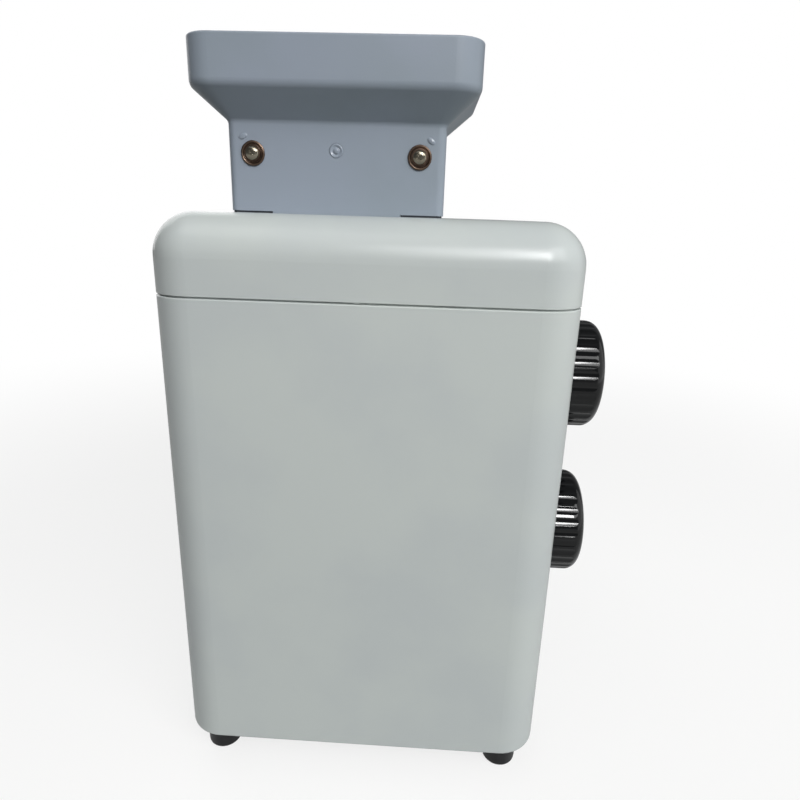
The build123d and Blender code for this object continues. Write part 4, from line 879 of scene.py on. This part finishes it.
@dataclass
class FeedUnit:
    """The hopper with its mould marks and its dark foam strips of painted shade under the neck's ends,
    the funnel inside it and the slide gate.
    """

    mark_z: float = 331.1
    mark_radius: float = 3.35
    mark_depth: float = 0.3
    mark_sink: float = 0.16
    # The border and the rise of each step of the dish, from its rim to the foot of the stub.
    dish_steps: tuple[tuple[float, float], ...] = (
        (0.25, 0.25),
        (0.35, 0.15),
        (0.3, -0.15),
        (0.5, -0.35),
        (0.4, -0.15),
    )
    stub_borders: tuple[float, ...] = (0.35, 0.3)
    stub_lean: tuple[float, float, float] = (0.1, -0.3, -0.1)
    stub_top: tuple[float, float] = (0.3, 0.12)
    ejector_spots: tuple[tuple[float, float], ...] = ((-74.0, 336.6), (15.8, 336.4))
    ejector_turns: tuple[float, ...] = (-20.0, 35.0)
    ejector_radius: float = 1.7
    ejector_depth: float = 0.225
    ejector_steps: tuple[tuple[float, float], ...] = (
        (0.255, 0.225),
        (0.51, 0.1575),
        (0.51, 0.0675),
    )
    ejector_stretch: tuple[float, ...] = (1.3, 1.0, 0.75, 1.0)
    # The size of the dark foam strips, painted shade in the low gaps under the neck's ends, in mm.
    shade_strip_height: float = 0.9
    shade_strip_setback: float = 0.7
    shade_strip_width: float = 1.6
    shade_strip_length: float = 20.8

    def dress(self) -> None:
        """Finishes the feed's pieces and models its fine ones."""
        WARDROBE.dress_nodes(HOPPER_ABS, "hopper")
        WARDROBE.dress_nodes(PLATED_STEEL, "feed_funnel", "feed_gate")
        NeckFasteners().build()
        self._build_gate_mark()
        self._build_ejector_marks()
        self._build_shade_strips()

    def _build_gate_mark(self) -> None:
        """Models the round dish between the screws, with the stub of the mould's gate in it."""
        place = Vector((NECK.middle_x, NECK.front_y + self.mark_sink, self.mark_z))
        bpy.ops.mesh.primitive_cylinder_add(
            vertices=64,
            radius=self.mark_radius * MM,
            depth=self.mark_depth * MM,
            location=place * MM,
            rotation=TOWARDS_FRONT,
        )
        dish = start_piece("neck_gate_mark")
        bpy.ops.object.mode_set(mode="EDIT")
        pick_faces(dish, facing(0, -1, 0))
        step_up(self.dish_steps)
        for border in self.stub_borders:
            step_in(border, self.stub_lean)
        step_up([self.stub_top])
        bpy.ops.object.mode_set(mode="OBJECT")
        rounding = dish.modifiers.new("rounding", "SUBSURF")
        rounding.levels = rounding.render_levels = 2
        bpy.ops.object.modifier_apply(modifier=rounding.name)
        finish_piece(dish, "cover", GATE_ABS)

    def _build_ejector_marks(self) -> None:
        """Models the low glossy marks that the mould's pins left by the neck's top corners."""
        bpy.ops.mesh.primitive_cylinder_add(
            vertices=40,
            radius=self.ejector_radius * MM,
            depth=self.ejector_depth * MM,
            location=(0, 0, 0),
            rotation=TOWARDS_FRONT,
        )
        mark = start_piece("ejector_mark")
        bpy.ops.object.mode_set(mode="EDIT")
        pick_faces(mark, facing(0, -1, 0))
        step_up(self.ejector_steps)
        bpy.ops.object.mode_set(mode="OBJECT")
        places = [
            Matrix.Translation(Vector((x, NECK.front_y, z)) * MM)
            @ Matrix.Rotation(math.radians(turn), 4, "Y")
            @ Matrix.Diagonal(self.ejector_stretch)
            for (x, z), turn in zip(self.ejector_spots, self.ejector_turns)
        ]
        marks = repeat_piece(mark, places, "neck_ejector_marks")
        finish_piece(marks, "cover", GATE_ABS)

    def _build_shade_strips(self) -> None:
        """Models dark foam strips in the two low gaps under the ends of the neck: painted shade, a dark
        filler where those gaps hold only shadow.
        """
        ring_length = NECK.width - 2 * self.shade_strip_setback
        ring_width = NECK.rear_y - NECK.front_y - 2 * self.shade_strip_setback
        bpy.ops.mesh.primitive_cube_add(
            size=1.0, scale=Vector((ring_length, ring_width, self.shade_strip_height)) * MM
        )
        shade_strip = start_piece("neck_shade_strip")
        bpy.ops.object.mode_set(mode="EDIT")
        pick_edges(shade_strip, lambda first, second: abs(first.z - second.z) > self.shade_strip_height / 2)
        bpy.ops.mesh.bevel(
            offset=(NECK.corner - self.shade_strip_setback) * MM, segments=6, affect="EDGES"
        )
        pick_faces(shade_strip, lambda centre, normal: abs(normal.z) > FACING_COSINE)
        step_in(self.shade_strip_width)
        bpy.ops.mesh.bridge_edge_loops()
        bpy.ops.mesh.select_all(action="SELECT")
        bpy.ops.mesh.normals_make_consistent(inside=False)
        bpy.ops.mesh.bisect(
            plane_co=((NECK.width / 2 - self.shade_strip_length) * MM, 0, 0),
            plane_no=(1, 0, 0),
            clear_inner=True,
            use_fill=True,
        )
        bpy.ops.object.mode_set(mode="OBJECT")
        middle_y = (NECK.front_y + NECK.rear_y) / 2
        middle = Vector((NECK.middle_x, middle_y, NECK.cover_z + self.shade_strip_height / 2))
        places = [
            Matrix.Translation(middle * MM) @ Matrix.Rotation(turn, 4, "Z")
            for turn in (math.pi, 0.0)
        ]
        shade_strips = repeat_piece(shade_strip, places, "neck_shade_strips")
        finish_piece(shade_strips, "cover", SHADE_STRIP_FOAM)


@dataclass
class Controls:
    """The two fluted knobs with what they turn, and the rocker switch, inlet and fuse."""

    def dress(self) -> None:
        """Finishes the controls."""
        WARDROBE.dress_nodes(KNOB_PHENOLIC, "gap_knob", "air_knob")
        WARDROBE.dress_nodes(BRIGHT_STEEL, "gap_spindle", "shutter_shaft")
        WARDROBE.dress_nodes(TURNED_BRASS, "knob_bushes", "gap_nut")
        WARDROBE.dress_nodes(
            BLACK_NYLON, "switch_housing", "switch_rocker", "power_inlet", "fuse_holder"
        )
        WARDROBE.dress_nodes(PLATED_STEEL, "air_shutter")


@dataclass
class Chassis:
    """The plates, rods, base and feet that carry the machine."""

    def dress(self) -> None:
        """Finishes the chassis."""
        WARDROBE.dress_nodes(FOOT_RUBBER, "feet")
        WARDROBE.dress_nodes(
            PLATED_STEEL,
            "foot_studs",
            "foot_nuts",
            "base_plate",
            "front_plate",
            "mid_plate",
            "motor_plate",
            "tie_rods",
            "tie_rod_nuts",
            "side_plate",
            "side_plate_screws",
            "separation_chute",
            "air_duct",
            "fan_housing",
            "capacitor_clip",
        )


@dataclass
class RollUnit:
    """The two hulling rolls, their shafts, carriage, spring and gears."""

    spring_start: float = 32.90
    spring_end: float = 60.30
    spring_y: float = -84.0
    spring_z: float = 221.0
    spring_radius: float = 14.5
    wire_radius: float = 1.2
    closed_rise: float = 2.46
    open_turns: int = 4
    weld_distance: float = 0.02
    carriage_travel: float = 1.5

    def dress(self) -> None:
        """Finishes the rolls and their drive, and models the carriage's spring."""
        self._build_spring()
        WARDROBE.dress_nodes(ROLL_RUBBER, "fast_roll_sleeve", "slow_roll_sleeve")
        WARDROBE.dress_nodes(
            CAST_ALUMINIUM,
            "fast_roll_core",
            "slow_roll_core",
            "roll_carriage",
            "bearing_housings",
            "fast_pulley",
            "motor_pulley",
        )
        WARDROBE.dress_nodes(
            BRIGHT_STEEL, "fast_shaft", "slow_shaft", "fast_bearings", "slow_bearings"
        )
        WARDROBE.dress_nodes(GEAR_STEEL, "fast_gear", "slow_gear")
        WARDROBE.dress_nodes(FOOT_RUBBER, "drive_belt")

    def _build_spring(self) -> None:
        """Models a coil spring with closed ends."""
        length = self.spring_end - self.spring_start
        coil_length = length - 2 * self.wire_radius
        open_rise = coil_length - 2 * self.closed_rise
        parts = []
        start = 0.0
        for turns, rise in ((1, self.closed_rise), (self.open_turns, open_rise), (1, self.closed_rise)):
            parts.append(self._wind_part(start, turns, rise))
            start += rise
        for part in parts:
            part.select_set(True)
        bpy.ops.object.join()
        spring = bpy.context.object
        spring.name = "carriage_spring"
        bpy.ops.object.mode_set(mode="EDIT")
        bpy.ops.mesh.select_all(action="SELECT")
        bpy.ops.mesh.remove_doubles(threshold=self.weld_distance * MM)
        bpy.ops.mesh.fill_holes(sides=0)
        bpy.ops.mesh.select_all(action="SELECT")
        bpy.ops.mesh.normals_make_consistent(inside=False)
        # This turn lays the coil along -X, so its first turn goes to the side plate.
        bpy.ops.transform.rotate(value=math.pi / 2, orient_axis="Y", center_override=(0, 0, 0))
        first_x = self.spring_end - self.wire_radius
        bpy.ops.transform.translate(value=Vector((first_x, self.spring_y, self.spring_z)) * MM)
        bpy.ops.object.mode_set(mode="OBJECT")
        finish_piece(spring, "chassis", SPRING_STEEL, ["pressure_spring"])
        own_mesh(spring)

    def _wind_part(self, start: float, turns: int, rise: float) -> bpy.types.Object:
        """Winds whole turns of wire round the Z axis.

        Args:
            start: The height of the wire's middle at its first end, in mm.
            turns: How many turns.
            rise: How much the wire climbs over all of them, in mm.

        Returns:
            The wound wire, open at both ends.
        """
        bpy.ops.mesh.primitive_circle_add(
            vertices=14,
            radius=self.wire_radius * MM,
            location=(self.spring_radius * MM, 0, start * MM),
            rotation=TOWARDS_FRONT,
        )
        part = start_piece("spring_part")
        coil = part.modifiers.new("coil", "SCREW")
        coil.angle = turns * math.tau
        coil.screw_offset = rise * MM
        coil.steps = coil.render_steps = 40 * turns
        coil.use_normal_calculate = True
        bpy.ops.object.modifier_apply(modifier=coil.name)
        return part


@dataclass
class MotorUnit:
    """The motor with its fan and capacitor."""

    def dress(self) -> None:
        """Finishes the motor, the impeller and the capacitor."""
        WARDROBE.dress_nodes(CAST_ALUMINIUM, "motor_front_bell", "motor_rear_bell", "fan_impeller")
        WARDROBE.dress_nodes(LAMINATIONS, "motor_stator")
        WARDROBE.dress_nodes(BRIGHT_STEEL, "motor_shaft")
        WARDROBE.dress_nodes(PLATED_STEEL, "motor_bolts")
        WARDROBE.dress_nodes(BLACK_NYLON, "run_capacitor")


@dataclass
class Drawers:
    """The two trays that catch the rice and the husks."""

    def dress(self) -> None:
        """Finishes the trays."""
        WARDROBE.dress_nodes(DRAWER_ABS, "rice_drawer", "husk_drawer")


@dataclass(frozen=True)
class SoftLamp:
    """A soft rectangular lamp, with its places and size in metres and its power in watts."""

    name: str
    place: tuple[float, float, float]
    target: tuple[float, float, float]
    size: tuple[float, float]
    power: float

    def hang(self) -> None:
        """Hangs the lamp, out of the camera's sight."""
        data = bpy.data.lights.new(self.name, "AREA")
        data.shape = "RECTANGLE"
        data.size, data.size_y = self.size
        data.energy = self.power
        lamp = bpy.data.objects.new(self.name, data)
        lamp.location = self.place
        lamp.visible_camera = False
        ahead = Vector(self.target) - Vector(self.place)
        lamp.rotation_euler = ahead.to_track_quat("-Z", "Y").to_euler()
        bpy.context.scene.collection.objects.link(lamp)


@dataclass
class Studio:
    """The pale floor, the white background and the soft lamps."""

    # The softbox gives the front its level from high up, so the hopper's flare stays in its
    # own shade. The strip draws the bright lines in the knobs' flutes.
    lamps: tuple[SoftLamp, ...] = (
        SoftLamp("softbox", (0.9, -1.7, 1.6), (0.0, -0.1, 0.2), (2.4, 1.1), 38.0),
        SoftLamp("strip", (0.47, -1.5, 1.16), (0.0, -0.1, 0.25), (0.14, 0.42), 8.5),
        SoftLamp("ceiling", (-0.45, -0.7, 1.8), (0.0, -0.1, 0.3), (1.1, 0.9), 3.3),
        SoftLamp("right", (1.6, -0.3, 0.5), (0.0, 0.0, 0.2), (2.0, 1.6), 7.6),
        SoftLamp("rear_left", (-1.2, 1.7, 1.1), (0.0, 0.0, 0.2), (2.2, 1.8), 17.0),
    )
    floor_size: float = 12.0
    floor_colour: str = "#F4F4F2"
    floor_roughness: float = 0.9
    floor_gloss: float = 0.4
    # How far from the object the floor starts to fade, where it is white, and its first share.
    fade_radii: tuple[float, float] = (0.35, 1.1)
    fade_start: float = 0.72
    # The floor throws less light back from further away.
    bounce_radii: tuple[float, float] = (0.25, 0.6)
    near_bounce: str = "#7E8285"
    far_bounce: str = "#2A2A2A"
    room_colour: str = "#F2F5F8"
    room_level: float = 0.2
    room_low_share: float = 0.3
    room_heights: tuple[float, float] = (-0.5, 0.7)
    room_left_share: float = 0.35
    room_sides: tuple[float, float] = (-0.9, 0.3)
    wall_heights: tuple[float, float] = (0.0, 0.5)
    wall_gloss: tuple[float, float] = (0.12, 0.05)

    def build(self) -> None:
        """Builds the floor, the world and the lamps."""
        self._lay_floor()
        self._light_world()
        for lamp in self.lamps:
            lamp.hang()

    def _lay_floor(self) -> None:
        """Lays a floor that shows the object's shadow and fades to white away from it."""
        bpy.ops.mesh.primitive_plane_add(size=self.floor_size)
        floor = bpy.context.object
        floor.name = "studio_floor"
        material, tree, place = new_material("white_paper_sweep")
        distance = add_node(tree, "VectorMath", {"operation": "LENGTH"}, {0: place})
        fade = add_node(
            tree,
            "MapRange",
            {"interpolation_type": "SMOOTHSTEP"},
            {
                "Value": distance.outputs["Value"],
                "From Min": self.fade_radii[0],
                "From Max": self.fade_radii[1],
                "To Min": self.fade_start,
            },
        )
        spread = add_node(
            tree,
            "MapRange",
            inputs={
                "Value": distance.outputs["Value"],
                "From Min": self.bounce_radii[0],
                "From Max": self.bounce_radii[1],
            },
        )
        bounce = add_node(
            tree,
            "Mix",
            {"data_type": "RGBA"},
            {
                "Factor": spread.outputs["Result"],
                "A": linear(self.near_bounce),
                "B": linear(self.far_bounce),
            },
        )
        seen = self._seen_directly(tree, self.floor_gloss)
        paper_colour = add_node(
            tree,
            "Mix",
            {"data_type": "RGBA"},
            {"Factor": seen, "A": bounce.outputs["Result"], "B": linear(self.floor_colour)},
        )
        share = add_node(
            tree, "Math", {"operation": "MULTIPLY"}, {0: fade.outputs["Result"], 1: seen}
        )
        paper = add_node(
            tree,
            "BsdfPrincipled",
            inputs={"Base Color": paper_colour.outputs["Result"], "Roughness": self.floor_roughness},
        )
        glow = add_node(tree, "Emission", inputs={"Color": WHITE, "Strength": 1.0})
        mixed = add_node(
            tree,
            "MixShader",
            inputs={
                "Fac": share.outputs["Value"],
                1: paper.outputs["BSDF"],
                2: glow.outputs["Emission"],
            },
        )
        add_node(tree, "OutputMaterial", inputs={"Surface": mixed.outputs["Shader"]})
        floor.data.materials.append(material)

    @staticmethod
    def _seen_directly(
        tree: bpy.types.NodeTree, gloss_share: bpy.types.NodeSocket | float
    ) -> bpy.types.NodeSocket:
        """Adds nodes that give 1 where the camera or glass sees a surface, and a share in gloss.

        Args:
            tree: The node tree that they go into.
            gloss_share: How much of the white background shows in gloss.

        Returns:
            The socket with the result.
        """
        ray = add_node(tree, "LightPath")
        gloss = add_node(
            tree, "Math", {"operation": "MULTIPLY"}, {0: ray.outputs["Is Glossy Ray"], 1: gloss_share}
        )
        either = add_node(
            tree,
            "Math",
            {"operation": "MAXIMUM"},
            {0: ray.outputs["Is Camera Ray"], 1: gloss.outputs["Value"]},
        )
        return add_node(
            tree,
            "Math",
            {"operation": "MAXIMUM"},
            {0: either.outputs["Value"], 1: ray.outputs["Is Transmission Ray"]},
        ).outputs["Value"]

    def _light_world(self) -> None:
        """Fills the room with a soft grey light, dimmer below and at the left, behind white."""
        world = bpy.data.worlds.new("studio_room")
        world.use_nodes = True
        bpy.context.scene.world = world
        tree = world.node_tree
        tree.nodes.clear()
        seen_way = add_node(tree, "TexCoord").outputs["Generated"]
        way = add_node(tree, "SeparateXYZ", inputs={"Vector": seen_way})
        level = add_node(
            tree,
            "MapRange",
            inputs={
                "Value": way.outputs["Z"],
                "From Min": self.room_heights[0],
                "From Max": self.room_heights[1],
                "To Min": self.room_low_share * self.room_level,
                "To Max": self.room_level,
            },
        )
        side = add_node(
            tree,
            "MapRange",
            inputs={
                "Value": way.outputs["X"],
                "From Min": self.room_sides[0],
                "From Max": self.room_sides[1],
                "To Min": self.room_left_share,
            },
        )
        strength = add_node(
            tree,
            "Math",
            {"operation": "MULTIPLY"},
            {0: level.outputs["Result"], 1: side.outputs["Result"]},
        )
        room = add_node(
            tree,
            "Background",
            inputs={"Color": linear(self.room_colour), "Strength": strength.outputs["Value"]},
        )
        wall = add_node(
            tree,
            "MapRange",
            inputs={
                "Value": way.outputs["Z"],
                "From Min": self.wall_heights[0],
                "From Max": self.wall_heights[1],
                "To Min": self.wall_gloss[0],
                "To Max": self.wall_gloss[1],
            },
        )
        backdrop = add_node(tree, "Background", inputs={"Color": WHITE, "Strength": 1.0})
        mixed = add_node(
            tree,
            "MixShader",
            inputs={
                "Fac": self._seen_directly(tree, wall.outputs["Result"]),
                1: room.outputs["Background"],
                2: backdrop.outputs["Background"],
            },
        )
        add_node(tree, "OutputWorld", inputs={"Surface": mixed.outputs["Shader"]})


@dataclass
class PhotoCamera:
    """The camera, where the photographer held it: close, a little above, and slightly tilted.

    Its place is in metres, its turns in degrees and its lens in millimetres.
    """

    place: tuple[float, float, float] = (17.08 * MM, -410.99 * MM, 302.28 * MM)
    yaw: float = -2.34
    pitch: float = 17.26
    roll: float = -1.77
    lens: float = 26.59
    nearest: float = 0.01

    def build(self) -> None:
        """Makes the camera and sets it as the scene's."""
        data = bpy.data.cameras.new("photo_camera")
        data.lens = self.lens
        data.clip_start = self.nearest
        camera = bpy.data.objects.new("photo_camera", data)
        yaw, pitch, roll = (math.radians(a) for a in (self.yaw, self.pitch, self.roll))
        ahead = Vector(
            (
                math.sin(yaw) * math.cos(pitch),
                math.cos(yaw) * math.cos(pitch),
                -math.sin(pitch),
            )
        )
        level_right = Vector((math.cos(yaw), -math.sin(yaw), 0.0))
        level_down = ahead.cross(level_right)
        right = math.cos(roll) * level_right + math.sin(roll) * level_down
        down = -math.sin(roll) * level_right + math.cos(roll) * level_down
        turn = Matrix((right, -down, -ahead)).transposed().to_4x4()
        camera.matrix_world = Matrix.Translation(self.place) @ turn
        bpy.context.scene.collection.objects.link(camera)
        bpy.context.scene.camera = camera


def main() -> None:
    """Builds the classes in order."""
    logging.basicConfig(level=logging.INFO, format="%(message)s")
    bpy.ops.object.select_all(action="DESELECT")
    for unit in (Casing(), FeedUnit(), Controls(), Chassis(), RollUnit(), MotorUnit(), Drawers()):
        unit.dress()
    PhotoCamera().build()
    Studio().build()
    bpy.context.scene.view_settings.view_transform = "Standard"


if __name__ == "__main__":
    main()
